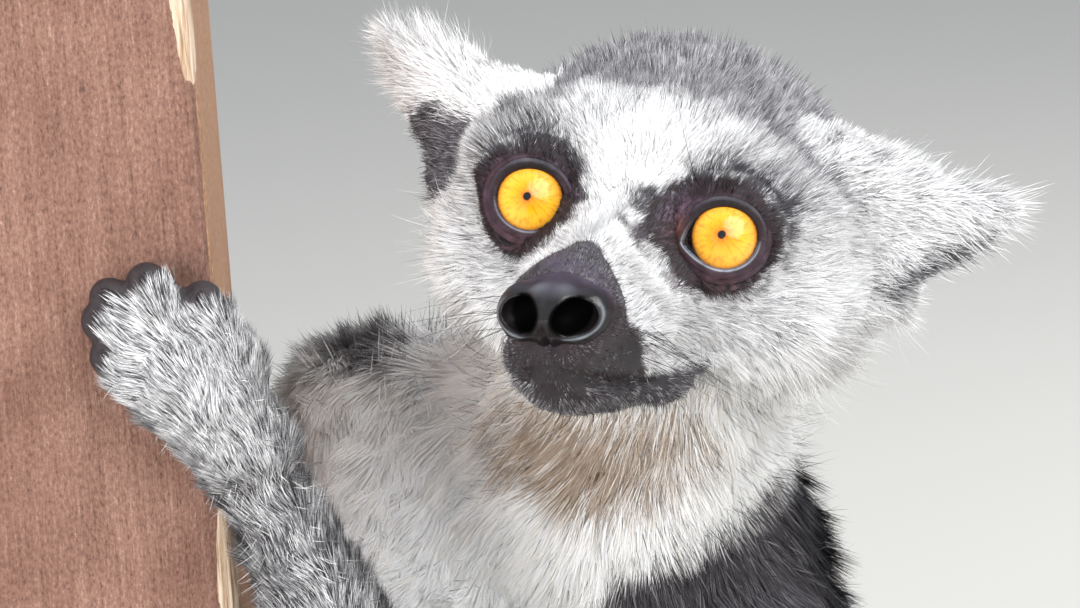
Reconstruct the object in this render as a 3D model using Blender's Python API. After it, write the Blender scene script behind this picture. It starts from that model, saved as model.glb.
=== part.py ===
"""Ring-tailed lemur, life size, sitting upright on a display base.

The right hand lies on a short squared post, which two rods carry above the base.
Metres, +Z up.  The origin is the centre of the base's underside.  The lemur faces -Y,
and its left side is +X.  The solids are the animal's outline out to the tips of its coat.
"""
from math import cos, pi, radians, sin

import bmesh
import bpy
from mathutils import Matrix, Vector

MM = 0.001
GAP = 0.35 * MM          # free space between neighbouring solids

# Display stand
BASE_WIDTH = 0.320
BASE_DEPTH = 0.360
BASE_THICKNESS = 0.012
BASE_CORNER = 0.030
POST_SIDE = 0.060
POST_BOTTOM = 0.226
POST_TOP = 0.374
POST_RIGHT = -0.0573     # the worn edge that the hand reaches round
POST_FRONT = -0.0445
ROD_RADIUS = 0.004
ROD_X = -0.1085
ROD_SPACING = 0.024

# Head: the head's own frame lies midway between the eyeballs
EYE_MID = Vector((0.0163, -0.0475, 0.3158))
HEAD_YAW = 19.5          # degrees, nose towards the animal's right
HEAD_NOD = 6.5           # degrees, nose down
HEAD_TILT = 11.5         # degrees, left side down
EYE_SPREAD = 18.0 * MM   # from the midline to each eyeball's centre
EYE_RADIUS = 8.0 * MM
EAR_DROP = {"ear_left": 6.0, "ear_right": -3.0}   # how far each ear's tip is lowered, mm

# Clay settings: voxel size, smoothing passes
FINE_VOXEL = 1.2 * MM
BODY_VOXEL = 2.6 * MM

TAIL_RADIUS = 20.0 * MM
TAIL_PIECES = 6


def clear_scene():
    for old in list(bpy.data.objects):
        bpy.data.objects.remove(old, do_unlink=True)


def srgb(code):
    channels = [int(code[i:i + 2], 16) / 255 for i in (0, 2, 4)]
    return [c / 12.92 if c < 0.04045 else ((c + 0.055) / 1.055) ** 2.4 for c in channels]


def make_material(name, code, roughness, metallic=0.0):
    material = bpy.data.materials.new(name)
    material.use_nodes = True
    shader = material.node_tree.nodes["Principled BSDF"]
    shader.inputs["Base Color"].default_value = (*srgb(code), 1.0)
    shader.inputs["Roughness"].default_value = roughness
    shader.inputs["Metallic"].default_value = metallic
    return material


def mm(*values):
    return Vector([value * MM for value in values])


def head_turn():
    """Turns the head's own axes (left, back, up) into the part's axes."""
    yaw = Matrix.Rotation(radians(-HEAD_YAW), 3, "Z")
    nod = Matrix.Rotation(radians(HEAD_NOD), 3, "X")
    tilt = Matrix.Rotation(radians(HEAD_TILT), 3, "Y")
    return yaw @ nod @ tilt


HEAD_TURN = head_turn()


def on_head(left, back, up):
    """A point of the head's own frame, in millimetres, as a point of the part."""
    return EYE_MID + HEAD_TURN @ mm(left, back, up)


def ball(bm, centre, radii, turn=None, detail=3):
    """Adds an ellipsoid; radii in metres along the axes that turn gives."""
    made = bmesh.ops.create_icosphere(bm, subdivisions=detail, radius=1.0)
    size = Matrix.Diagonal(Vector(radii))
    matrix = (turn or Matrix.Identity(3)) @ size
    for vert in made["verts"]:
        vert.co = centre + matrix @ vert.co
    return made["verts"]


def limb(bm, stations, steps=7):
    """Adds a round limb through (point, radius) stations, as a close row of balls."""
    for (start, start_radius), (end, end_radius) in zip(stations, stations[1:]):
        for step in range(steps + 1):
            t = step / steps
            radius = start_radius * (1 - t) + end_radius * t
            ball(bm, start.lerp(end, t), [radius] * 3, detail=2)


def head_ball(bm, left, back, up, radii):
    ball(bm, on_head(left, back, up), mm(*radii), HEAD_TURN)


def head_limb(bm, stations):
    limb(bm, [(on_head(*place), radius * MM) for place, radius in stations])


def evaluated(obj):
    depsgraph = bpy.context.evaluated_depsgraph_get()
    depsgraph.update()
    return bpy.data.meshes.new_from_object(obj.evaluated_get(depsgraph))


def apply_modifiers(obj):
    old = obj.data
    obj.data = evaluated(obj)
    obj.modifiers.clear()
    bpy.data.meshes.remove(old)


def new_object(name, bm, material):
    mesh = bpy.data.meshes.new(name)
    bm.to_mesh(mesh)
    bm.free()
    obj = bpy.data.objects.new(name, mesh)
    mesh.materials.append(material)
    bpy.context.scene.collection.objects.link(obj)
    return obj


def clay(name, bm, material, triangles, voxel=BODY_VOXEL, smooth=6):
    """Joins the lumps in bm into one smooth closed body of about so many triangles."""
    obj = new_object(name, bm, material)
    remesh = obj.modifiers.new("join", "REMESH")
    remesh.mode = "VOXEL"
    remesh.voxel_size = voxel
    relax = obj.modifiers.new("relax", "SMOOTH")
    relax.factor = 0.5
    relax.iterations = smooth
    apply_modifiers(obj)
    faces = sum(len(face.vertices) - 2 for face in obj.data.polygons)
    thin = obj.modifiers.new("thin", "DECIMATE")
    thin.ratio = min(1.0, triangles / faces)
    thin.use_collapse_triangulate = True
    apply_modifiers(obj)
    obj.data.materials.clear()
    obj.data.materials.append(material)
    return obj


def swollen_copy(obj, by):
    """A copy of a solid, larger by a small distance all round."""
    bm = bmesh.new()
    bm.from_mesh(obj.data)
    bm.normal_update()
    moves = [(vert, vert.normal * (by * vert.calc_shell_factor())) for vert in bm.verts]
    for vert, move in moves:
        vert.co += move
    copy = new_object(obj.name + "_cutter", bm, obj.data.materials[0])
    copy.hide_render = True
    copy.display_type = "WIRE"
    return copy


def keep_largest(obj):
    """Deletes the crumbs that a cut may leave beside the main body."""
    bm = bmesh.new()
    bm.from_mesh(obj.data)
    bmesh.ops.dissolve_degenerate(bm, dist=0.01 * MM, edges=bm.edges)
    bmesh.ops.triangulate(bm, faces=bm.faces)
    bm.verts.ensure_lookup_table()
    left = set(bm.verts)
    best = []
    while left:
        group = [left.pop()]
        for vert in group:
            for edge in vert.link_edges:
                other = edge.other_vert(vert)
                if other in left:
                    left.remove(other)
                    group.append(other)
        if len(group) > len(best):
            best = group
    keep = set(best)
    bmesh.ops.delete(bm, geom=[v for v in bm.verts if v not in keep], context="VERTS")
    bm.to_mesh(obj.data)
    bm.free()


def subtract(obj, cutter):
    """Takes the cutter's space out of obj."""
    boolean = obj.modifiers.new("cut", "BOOLEAN")
    boolean.operation = "DIFFERENCE"
    boolean.solver = "EXACT"
    boolean.object = cutter
    apply_modifiers(obj)
    keep_largest(obj)


def hollow_out(obj, bm):
    """Takes the shape in bm out of obj."""
    cutter = new_object(obj.name + "_hollow", bm, obj.data.materials[0])
    subtract(obj, cutter)
    bpy.data.objects.remove(cutter, do_unlink=True)


def shade(obj, angle=40.0):
    obj.data.shade_smooth()
    obj.data.set_sharp_from_angle(angle=radians(angle))


# ---------------------------------------------------------------- display stand

def stand_base(material):
    """A flat board with round corners and eased edges."""
    bm = bmesh.new()
    bmesh.ops.create_cube(bm, size=1.0)
    bmesh.ops.scale(bm, vec=(BASE_WIDTH, BASE_DEPTH, BASE_THICKNESS), verts=bm.verts)
    bmesh.ops.translate(bm, vec=(0, 0, BASE_THICKNESS / 2), verts=bm.verts)
    upright = [e for e in bm.edges if abs(e.verts[0].co.z - e.verts[1].co.z) > MM]
    bmesh.ops.bevel(bm, geom=upright, offset=BASE_CORNER, segments=5, affect="EDGES",
                    profile=0.5, material=-1)
    top = [e for e in bm.edges if all(v.co.z > BASE_THICKNESS - MM for v in e.verts)
           and e.is_manifold and e.calc_face_angle(0) > 1.0]
    bmesh.ops.bevel(bm, geom=top, offset=2 * MM, segments=1, affect="EDGES", profile=0.5,
                    material=-1)
    return new_object("stand_base", bm, material)


def perch_post(material):
    """A short length of squared timber with worn upright edges."""
    bm = bmesh.new()
    bmesh.ops.create_cube(bm, size=1.0)
    height = POST_TOP - POST_BOTTOM
    bmesh.ops.scale(bm, vec=(POST_SIDE, POST_SIDE, height), verts=bm.verts)
    middle = (POST_RIGHT - POST_SIDE / 2, POST_FRONT + POST_SIDE / 2, POST_BOTTOM + height / 2)
    bmesh.ops.translate(bm, vec=middle, verts=bm.verts)
    upright = [e for e in bm.edges if abs(e.verts[0].co.z - e.verts[1].co.z) > MM]
    bmesh.ops.bevel(bm, geom=upright, offset=2.5 * MM, segments=3, affect="EDGES",
                    profile=0.5, material=-1)
    return new_object("perch_post", bm, material)


def stand_rod(number, y, material):
    bottom = BASE_THICKNESS + GAP
    height = POST_BOTTOM - GAP - bottom
    bm = bmesh.new()
    bmesh.ops.create_cone(bm, cap_ends=True, segments=14, radius1=ROD_RADIUS,
                          radius2=ROD_RADIUS, depth=height)
    bmesh.ops.translate(bm, vec=(ROD_X, y, bottom + height / 2), verts=bm.verts)
    return new_object(f"stand_rod_{number}", bm, material)


# ---------------------------------------------------------------- head

def build_head(material):
    """Cranium, brow, wedge muzzle, lower jaw and the full ruff of the cheeks."""
    bm = bmesh.new()
    head_ball(bm, 0, 31, -2, (31.5, 31, 24))
    head_ball(bm, 0, 15, 2, (28.5, 22, 18))
    head_limb(bm, [((0, 0, -7), 14.5), ((0, -20, -7), 11.5), ((0, -34, -7), 8.3)])
    head_limb(bm, [((0, 4, -21), 13), ((0.5, -15, -20), 11.5), ((1, -27, -19), 8)])
    head_ball(bm, 0, 26, -22, (26, 26, 13))
    for side in (-1, 1):
        head_ball(bm, side * 20, 15, -15, (21, 21, 18))
        head_ball(bm, side * 28, 22, -21, (13, 14, 14))
        head_ball(bm, side * 23, 16, -3, (13.5, 16, 14))
        head_ball(bm, side * 18, 4, 0.5, (12.5, 9.0, 12))
        head_limb(bm, [((side * 8, 1, -13), 12), ((side * 5, -20, -13), 9)])
    head = clay("head", bm, material, 800, FINE_VOXEL, smooth=12)
    for side in (-1, 1):
        socket = bmesh.new()
        ball(socket, on_head(side * 18.5, -9.0, 0), mm(7.4, 4.6, 6.8), HEAD_TURN, detail=2)
        hollow_out(head, socket)
    return head


def build_nose(material):
    """The bare nose pad at the muzzle's tip, with two nostrils that open to the sides."""
    bm = bmesh.new()
    head_ball(bm, 0, -39.5, -4.5, (6.0, 4.6, 5.2))
    for side in (-1, 1):
        head_ball(bm, side * 4.2, -39.0, -5.0, (4.6, 4.2, 4.6))
    head_ball(bm, 0, -39.5, -9.5, (2.6, 3.4, 3.6))
    nose = clay("nose", bm, material, 170, 0.5 * MM, smooth=4)
    for side in (-1, 1):
        hole = bmesh.new()
        ball(hole, on_head(side * 5.2, -43.4, -5.6), mm(2.3, 2.2, 1.9), HEAD_TURN, detail=1)
        hollow_out(nose, hole)
    return nose


def build_eye(name, side, material):
    bm = bmesh.new()
    bmesh.ops.create_uvsphere(bm, u_segments=16, v_segments=10, radius=EYE_RADIUS)
    bmesh.ops.rotate(bm, cent=(0, 0, 0), matrix=Matrix.Rotation(pi / 2, 3, "X"), verts=bm.verts)
    bmesh.ops.translate(bm, vec=EYE_MID + HEAD_TURN @ Vector((side * EYE_SPREAD, 0, 0)),
                        verts=bm.verts)
    return new_object(name, bm, material)


def build_ear(name, side, material):
    """A broad leaf, hollow in front, with a fringe that carries it out to a point."""
    drop = EAR_DROP[name]
    outline = [  # along the ear's axis: place (left, back, up), half width, half thickness
        ((27, 26, -1), 17.0, 6.5), ((36, 27, 0), 17.0, 6.0), ((45, 30, 0.5), 14.5, 5.2),
        ((54, 34, 3), 10.5, 4.2), ((61, 38, 6.5), 6.5, 3.2), ((66.5, 41, 9.8), 3.0, 2.2)]
    along = Vector((side * 40, 15, 7)).normalized()
    facing = Vector((side * 0.30, -0.95, 0.0))
    facing = (facing - along * facing.dot(along)).normalized()
    across = facing.cross(along).normalized()
    turn = HEAD_TURN @ Matrix((along, facing, across)).transposed()
    bm = bmesh.new()
    for here, after in zip(outline, outline[1:]):
        for step in range(4):
            t = step / 4
            place = Vector(here[0]).lerp(Vector(after[0]), t)
            width = here[1] * (1 - t) + after[1] * t
            thickness = here[2] * (1 - t) + after[2] * t
            sink = drop * max(0.0, (place.x - 30) / 36)
            ball(bm, on_head(side * place.x, place.y, place.z - sink), mm(4, thickness, width), turn,
                 detail=2)
    ear = clay(name, bm, material, 150, 0.9 * MM, smooth=4)
    hollow = bmesh.new()
    ball(hollow, on_head(side * 43, 21.5, 0.0), mm(15, 6.0, 10.5), turn, detail=1)
    hollow_out(ear, hollow)
    return ear


# ---------------------------------------------------------------- trunk and limbs

TRUNK = [  # along the spine: centre, half width, half depth, all in millimetres
    ((0, 92, 44), 50, 44), ((0, 86, 74), 59, 52), ((0, 76, 112), 58, 51), ((0, 62, 152), 54, 47),
    ((0, 50, 190), 50, 43), ((0, 38, 222), 47, 41), ((0, 28, 246), 45, 38), ((2, 22, 262), 38, 32)]
WAIST = mm(0, 73, 120)       # where the rump meets the abdomen
LAST_RIB = mm(0, 48, 196)    # where the abdomen meets the chest
SPINE = (LAST_RIB - WAIST).normalized()


def trunk_clay(material):
    """The whole trunk from the seat to the shoulders, before it is parted."""
    bm = bmesh.new()
    for here, after in zip(TRUNK, TRUNK[1:]):
        for step in range(6):
            t = step / 5
            centre = Vector(here[0]).lerp(Vector(after[0]), t) * MM
            width = here[1] * (1 - t) + after[1] * t
            depth = here[2] * (1 - t) + after[2] * t
            ball(bm, centre, mm(width, depth, 24), detail=2)
    ball(bm, mm(-24, 20, 262), mm(25, 24, 25))
    ball(bm, mm(28, 14, 246), mm(22, 24, 24))
    ball(bm, mm(0, 44, 66), mm(36, 38, 40))
    return clay("trunk", bm, material, 540)


def slice_off(bm, point, normal):
    """Cuts away what lies beyond a plane and closes the cut with a flat face."""
    everything = [*bm.verts, *bm.edges, *bm.faces]
    bmesh.ops.bisect_plane(bm, geom=everything, plane_co=point, plane_no=normal, clear_outer=True)
    rim = [edge for edge in bm.edges if edge.is_boundary]
    bmesh.ops.contextual_create(bm, geom=rim)


def build_trunk(pale, grey):
    """Parts the trunk at the waist and at the last rib."""
    whole = trunk_clay(pale)
    lengths = {"rump": (grey, None, WAIST), "abdomen": (pale, WAIST, LAST_RIB),
               "chest": (pale, LAST_RIB, None)}
    made = []
    for name, (material, low, high) in lengths.items():
        bm = bmesh.new()
        bm.from_mesh(whole.data)
        if low:
            slice_off(bm, low + SPINE * GAP / 2, -SPINE)
        if high:
            slice_off(bm, high - SPINE * GAP / 2, SPINE)
        bmesh.ops.recalc_face_normals(bm, faces=bm.faces)
        made.append(new_object(name, bm, material))
    bpy.data.objects.remove(whole, do_unlink=True)
    return made


def build_neck(material):
    bm = bmesh.new()
    limb(bm, [(mm(25, -10, 299), 29 * MM), (mm(17, 6, 273), 33 * MM), (mm(8, 18, 252), 37 * MM)])
    return clay("neck", bm, material, 180)


def build_upper_arm_right(material):
    bm = bmesh.new()
    limb(bm, [(mm(-34, 22, 266), 22.5 * MM), (mm(-31, -3, 234), 20 * MM), (mm(-23, -34, 193), 16 * MM)])
    return clay("upper_arm_right", bm, material, 120)


def build_forearm_right(material):
    bm = bmesh.new()
    limb(bm, [(mm(-21, -42, 186), 15.5 * MM), (mm(-30, -46, 214), 15.5 * MM),
              (mm(-42.5, -49.5, 249), 13 * MM), (mm(-51.5, -52.5, 275), 9.8 * MM)])
    return clay("forearm_right", bm, material, 140, 2.0 * MM)


def digit(bm, root, knuckle, tip, root_radius, tip_radius):
    limb(bm, [(root, root_radius), (knuckle, (root_radius + tip_radius) / 2), (tip, tip_radius)], 5)


def build_hand_right(material):
    """The palm lies on the post's front face, with the five digits spread upwards."""
    bm = bmesh.new()
    limb(bm, [(mm(-52.5, -52.5, 278), 9.5 * MM), (mm(-58, -52.6, 287), 10.5 * MM),
              (mm(-62, -52.6, 293), 10.5 * MM)])
    ball(bm, mm(-66, -52.4, 292.5), mm(8, 7.6, 9))
    ball(bm, mm(-56, -52.4, 295), mm(8, 7.8, 8))
    digits = [  # root, knuckle and tip, from the thumb to the fifth digit
        ((-67, -52.5, 291), (-72, -52.5, 294.5), (-76, -52.0, 298.3)),
        ((-66, -52.5, 296), (-73, -52.8, 301.0), (-77, -52.0, 304.8)),
        ((-63, -52.5, 298), (-69.5, -51.5, 304), (-75.3, -50.5, 308.5)),
        ((-60, -52.5, 298), (-65, -52.5, 305.5), (-68.5, -51.5, 311.0)),
        ((-56, -52.5, 297), (-57.5, -52.3, 302), (-59, -51.5, 307.0))]
    for root, knuckle, tip in digits:
        digit(bm, mm(*root), mm(*knuckle), mm(*tip), 5.6 * MM, 4.3 * MM)
    return clay("hand_right", bm, material, 440, 0.9 * MM, smooth=5)


def build_upper_arm_left(material):
    bm = bmesh.new()
    limb(bm, [(mm(29, 12, 248), 22 * MM), (mm(38, 14, 210), 20 * MM), (mm(47, 20, 173), 15.5 * MM)])
    return clay("upper_arm_left", bm, material, 120)


def build_forearm_left(material):
    bm = bmesh.new()
    limb(bm, [(mm(48, 20, 169), 14.5 * MM), (mm(55, -8, 178), 14 * MM), (mm(62, -40, 184), 11.5 * MM),
              (mm(66, -60, 183), 9.8 * MM)])
    return clay("forearm_left", bm, material, 140, 2.0 * MM)


def build_hand_left(material):
    """The hand hangs in front of the knee that its forearm rests on."""
    bm = bmesh.new()
    limb(bm, [(mm(66.5, -64, 181), 9.5 * MM), (mm(67, -72, 172), 10 * MM), (mm(67, -74, 163), 10 * MM)])
    for index in range(4):
        spread = (index - 1.5) * 6.4
        root = mm(67 + spread * 0.9, -75, 160)
        knuckle = mm(67.5 + spread * 1.15, -77 - index % 2, 148)
        tip = mm(67.5 + spread * 1.2, -75.5 - index % 2, 134 + abs(index - 1.6) * 3)
        digit(bm, root, knuckle, tip, 5.4 * MM, 3.9 * MM)
    digit(bm, mm(60, -71, 170), mm(53, -73, 161), mm(50.5, -73.5, 152), 5.4 * MM, 3.9 * MM)
    return clay("hand_left", bm, material, 380, 1.1 * MM, smooth=5)


def build_thigh(name, side, material):
    bm = bmesh.new()
    limb(bm, [(mm(side * 41, 70, 66), 36 * MM), (mm(side * 54, 36, 106), 31 * MM),
              (mm(side * 66, -3, 146), 22 * MM)])
    return clay(name, bm, material, 160)


def build_shin(name, side, material):
    bm = bmesh.new()
    limb(bm, [(mm(side * 67, -12, 142), 19 * MM), (mm(side * 65, 8, 100), 18 * MM),
              (mm(side * 61, 34, 50), 13 * MM), (mm(side * 60, 42, 34), 12.5 * MM)])
    return clay(name, bm, material, 130)


def build_foot(name, side, material):
    """A long flat foot: heel, sole, four toes and a big toe set inwards."""
    bm = bmesh.new()
    limb(bm, [(mm(side * 59, 46, 24), 12.5 * MM), (mm(side * 61, 6, 22), 11.5 * MM),
              (mm(side * 63, -26, 20), 11 * MM)])
    ball(bm, mm(side * 64, -32, 19.5), mm(15, 14, 9))
    for index in range(4):
        fan = (index - 1.5) * 7.6
        reach = -66 + abs(index - 1.4) * 4.5
        digit(bm, mm(side * (65 + fan * 0.7), -38, 19.5), mm(side * (65 + fan * 1.05), -52, 19.0),
              mm(side * (65.5 + fan * 1.25), reach, 16.8), 5.6 * MM, 4.4 * MM)
    digit(bm, mm(side * 55, -18, 19.5), mm(side * 44, -30, 19), mm(side * 38, -41, 17), 6.2 * MM, 4.9 * MM)
    return clay(name, bm, material, 340, 1.2 * MM, smooth=5)


# ---------------------------------------------------------------- tail

TAIL_ROUTE = [mm(0, 108, 56), mm(20, 146, 40), mm(66, 152, 31.5), mm(108, 122, 31.5),
              mm(124, 62, 31.5), mm(125, -4, 31.5), mm(112, -66, 31.5), mm(72, -104, 31.5),
              mm(14, -116, 31.5), mm(-44, -112, 31.5), mm(-88, -92, 30.5)]


def smooth_route(points, per_span):
    """Points along a Catmull-Rom curve through the given ones."""
    row = [points[0] * 2 - points[1], *points, points[-1] * 2 - points[-2]]
    curve = []
    for a, b, c, d in zip(row, row[1:], row[2:], row[3:]):
        for step in range(per_span):
            t = step / per_span
            curve.append(0.5 * (2 * b + (c - a) * t + (2 * a - 5 * b + 4 * c - d) * t ** 2
                                + (3 * b - a - 3 * c + d) * t ** 3))
    curve.append(points[-1])
    return curve


def tail_radius(t):
    """Slender at the root, bushy along its length, and rounded off at the tip."""
    swell = min(1.0, 0.74 + 1.3 * t)
    end = min(1.0, (max(0.0, 1.0 - t) / 0.07)) ** 0.5
    return TAIL_RADIUS * swell * max(0.30, end)


def build_tail(material, base_top):
    """Round lengths, each a bridged row of rings, with a thin gap between them."""
    curve = smooth_route(TAIL_ROUTE, 4)
    last = len(curve) - 1
    cuts = [round(last * i / TAIL_PIECES) for i in range(TAIL_PIECES + 1)]
    pieces = []
    for number, (first, end) in enumerate(zip(cuts, cuts[1:]), start=1):
        bm = bmesh.new()
        rings = []
        for index in range(first, end + 1):
            ahead = curve[min(index + 1, last)]
            behind = curve[max(index - 1, 0)]
            heading = (ahead - behind).normalized()
            centre = curve[index].copy()
            if index == first and number > 1:
                centre += heading * GAP / 2
            if index == end and number < TAIL_PIECES:
                centre -= heading * GAP / 2
            ring = bmesh.ops.create_circle(bm, segments=11, radius=tail_radius(index / last))
            turn = heading.to_track_quat("Z", "Y").to_matrix()
            for vert in ring["verts"]:
                vert.co = centre + turn @ vert.co
                vert.co.z = max(vert.co.z, base_top)
            rings.append(ring["verts"])
        for lower, upper in zip(rings, rings[1:]):
            edges = {e for v in lower + upper for e in v.link_edges
                     if not (e.verts[0] in lower and e.verts[1] in upper)
                     and not (e.verts[0] in upper and e.verts[1] in lower)
                     and all(w in lower or w in upper for w in e.verts)}
            bmesh.ops.bridge_loops(bm, edges=list(edges))
        for ring in (rings[0], rings[-1]):
            bmesh.ops.contextual_create(bm, geom=ring)
        bmesh.ops.recalc_face_normals(bm, faces=bm.faces)
        pieces.append(new_object(f"tail_{number}", bm, material))
    return pieces


# ---------------------------------------------------------------- the whole part

# Where two pieces meet, the one in the list gives way to the whole shape of each after it.
GIVES_WAY = {
    "head": ("nose", "eye_left", "eye_right"),
    "ear_left": ("head",),
    "ear_right": ("head",),
    "neck": ("head", "ear_left", "ear_right"),
    "hand_right": ("perch_post",),
    "forearm_right": ("hand_right", "perch_post"),
    "upper_arm_right": ("forearm_right", "neck", "perch_post"),
    "hand_left": ("shin_left",),
    "forearm_left": ("hand_left", "shin_left"),
    "upper_arm_left": ("forearm_left", "neck", "head", "ear_left"),
    "chest": ("neck", "upper_arm_right", "upper_arm_left", "forearm_right", "perch_post", "head"),
    "abdomen": ("upper_arm_right", "upper_arm_left", "forearm_right", "forearm_left"),
    "foot_left": ("stand_base",),
    "foot_right": ("stand_base",),
    "shin_left": ("foot_left",),
    "shin_right": ("foot_right",),
    "thigh_left": ("shin_left", "foot_left", "abdomen", "hand_left", "forearm_left"),
    "thigh_right": ("shin_right", "foot_right", "abdomen"),
    "rump": ("thigh_left", "thigh_right", "shin_left", "shin_right", "foot_left",
             "foot_right", "stand_base"),
    "tail_1": ("rump",),
}


def main():
    clear_scene()
    timber = make_material("stained_timber", "8A5A48", 0.75)
    board = make_material("oak_board", "B79A72", 0.55)
    steel = make_material("brushed_steel", "B8BABC", 0.35, 1.0)
    coat = make_material("grey_coat", "A6A3A1", 0.85)
    pale_coat = make_material("white_coat", "E4DFD6", 0.85)
    tail_coat = make_material("ringed_coat", "5A5757", 0.85)
    nose_leather = make_material("nose_leather", "2A2226", 0.4)
    eye_amber = make_material("eye_amber", "F2A81D", 0.1)

    rod_y = POST_FRONT + POST_SIDE / 2
    parts = [stand_base(board), perch_post(timber)]
    parts += [stand_rod(i + 1, rod_y + (i - 0.5) * ROD_SPACING, steel) for i in range(2)]
    parts += [build_nose(nose_leather), build_head(pale_coat), build_neck(pale_coat)]
    parts += build_trunk(pale_coat, coat)
    parts += [build_upper_arm_right(coat), build_forearm_right(coat), build_hand_right(coat)]
    parts += [build_upper_arm_left(coat), build_forearm_left(coat), build_hand_left(coat)]
    for name, side in (("left", 1), ("right", -1)):
        parts += [build_eye(f"eye_{name}", side, eye_amber), build_ear(f"ear_{name}", side, pale_coat)]
        parts += [build_thigh(f"thigh_{name}", side, coat), build_shin(f"shin_{name}", side, coat)]
        parts += [build_foot(f"foot_{name}", side, coat)]
    parts += build_tail(tail_coat, BASE_THICKNESS + GAP)

    named = {part.name: part for part in parts}
    givers = {giver for row in GIVES_WAY.values() for giver in row}
    cutters = {name: swollen_copy(named[name], GAP) for name in sorted(givers)}
    for name, row in GIVES_WAY.items():
        for giver in row:
            subtract(named[name], cutters[giver])
    for cutter in cutters.values():
        bpy.data.objects.remove(cutter, do_unlink=True)
    for part in parts:
        shade(part)


main()
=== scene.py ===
"""The looks of the sitting ring-tailed lemur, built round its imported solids.

One skin replaces the solids of flesh and lies inside them by the depth of the coat.  The coat is
mesh: tapered blades that root in the skin and follow the lie of the hair.  Lengths are written in
millimetres and become metres through MM.  The head has its own axes (left, back, up), with their
origin midway between the eyeballs.
"""
from functools import partial
from math import cos, pi, radians, sin

import bmesh
import bpy
import numpy as np
from mathutils import Matrix, Vector
from mathutils.kdtree import KDTree


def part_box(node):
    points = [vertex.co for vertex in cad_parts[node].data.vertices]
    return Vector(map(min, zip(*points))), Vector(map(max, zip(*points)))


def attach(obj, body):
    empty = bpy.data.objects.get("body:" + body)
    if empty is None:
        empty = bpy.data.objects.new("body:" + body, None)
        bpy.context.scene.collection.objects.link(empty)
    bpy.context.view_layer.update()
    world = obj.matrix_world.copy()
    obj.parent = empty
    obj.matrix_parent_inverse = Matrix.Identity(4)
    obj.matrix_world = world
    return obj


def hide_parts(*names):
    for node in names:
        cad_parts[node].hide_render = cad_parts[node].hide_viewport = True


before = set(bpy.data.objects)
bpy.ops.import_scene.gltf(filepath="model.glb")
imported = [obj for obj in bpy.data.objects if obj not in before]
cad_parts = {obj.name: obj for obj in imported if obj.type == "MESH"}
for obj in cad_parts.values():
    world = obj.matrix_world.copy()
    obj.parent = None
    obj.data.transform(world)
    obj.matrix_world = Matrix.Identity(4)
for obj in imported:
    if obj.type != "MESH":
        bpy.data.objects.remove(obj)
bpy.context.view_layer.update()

MM = 0.001
COAT_SHARE = 1.0

# How the head is held, as in the part's source
HEAD_YAW, HEAD_NOD, HEAD_TILT = 19.5, 6.5, 11.5
EYE_RADIUS = 8.0

# Camera: it looks at the face from a metre away and a little above
AIM = Vector((0, -0.055, 0.303))
CAMERA_DISTANCE = 1.0
CAMERA_RISE = 12.0       # degrees above level
CAMERA_ROLL = 4.0
VIEW_WIDTH = 0.189       # metres across the picture at the aim point

SKIN_VOXEL = 2.1 * MM
GAP_CLOSER = 0.5 * MM    # how much each solid swells so that the skin is one body
SOLID_SAMPLES = 2200     # points spread on each solid, to tell which one the skin is nearest to
HANDS_AND_FEET = ("hand_right", "hand_left", "foot_left", "foot_right")


# ------------------------------------------------------------------ small helpers

def linear(code):
    """An sRGB hex colour as linear numbers."""
    channels = np.array([int(code[i:i + 2], 16) / 255 for i in (0, 2, 4)])
    return np.where(channels < 0.04045, channels / 12.92, ((channels + 0.055) / 1.055) ** 2.4)


def rgba(code):
    return (*linear(code), 1.0)


def middle(node):
    low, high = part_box(node)
    return (low + high) / 2


def unit(rows):
    return rows / np.maximum(np.linalg.norm(rows, axis=-1, keepdims=True), 1e-9)


def step(values, start, end):
    """0 before start, 1 after end, and smooth between them; start may be above end."""
    t = np.clip((values - start) / (end - start), 0, 1)
    return t * t * (3 - 2 * t)


def bell(values, width):
    """1 at zero, falling off smoothly over width to both sides."""
    return np.exp(-(values / width) ** 2)


def laid_over(under, over, share):
    """What is under, covered by what is over as strongly as share says."""
    return under * (1 - share) + over * share


HEAD_TURN = (Matrix.Rotation(radians(-HEAD_YAW), 3, "Z") @ Matrix.Rotation(radians(HEAD_NOD), 3, "X")
             @ Matrix.Rotation(radians(HEAD_TILT), 3, "Y"))
HEAD_AXES = np.array(HEAD_TURN)
EYE_CENTRES = {"left": middle("eye_left"), "right": middle("eye_right")}
EYE_MID = (EYE_CENTRES["left"] + EYE_CENTRES["right"]) / 2


def to_head(points):
    """Points of the part, in metres, as millimetres in the head's own axes."""
    return (points - np.array(EYE_MID)) @ HEAD_AXES / MM


def from_head(points):
    return np.array(EYE_MID) + np.asarray(points, float) @ HEAD_AXES.T * MM


def cloud(points, size, seed):
    """Smooth random numbers of about -1 to 1 that vary over size metres."""
    rng = np.random.default_rng(seed)
    total = np.zeros(len(points))
    for _ in range(6):
        wave = rng.normal(size=3)
        wave *= 2 * pi / (size * rng.uniform(0.8, 2.2) * np.linalg.norm(wave))
        total += np.sin(points @ wave + rng.uniform(0, 2 * pi))
    return total / 2.4


def share_along(points, a, b):
    """How far along the stretch from a to b each point lies, from 0 to 1."""
    return np.clip((points - a) @ (b - a) / ((b - a) @ (b - a)), 0, 1)


def distance_to_path(points, path):
    """Distance from each point to the nearest stretch of a path."""
    best = np.full(len(points), 1e9)
    for a, b in zip(path, path[1:]):
        a, b = np.array(a, float), np.array(b, float)
        t = share_along(points, a, b)[:, None]
        best = np.minimum(best, np.linalg.norm(points - (a + (b - a) * t), axis=1))
    return best


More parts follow.
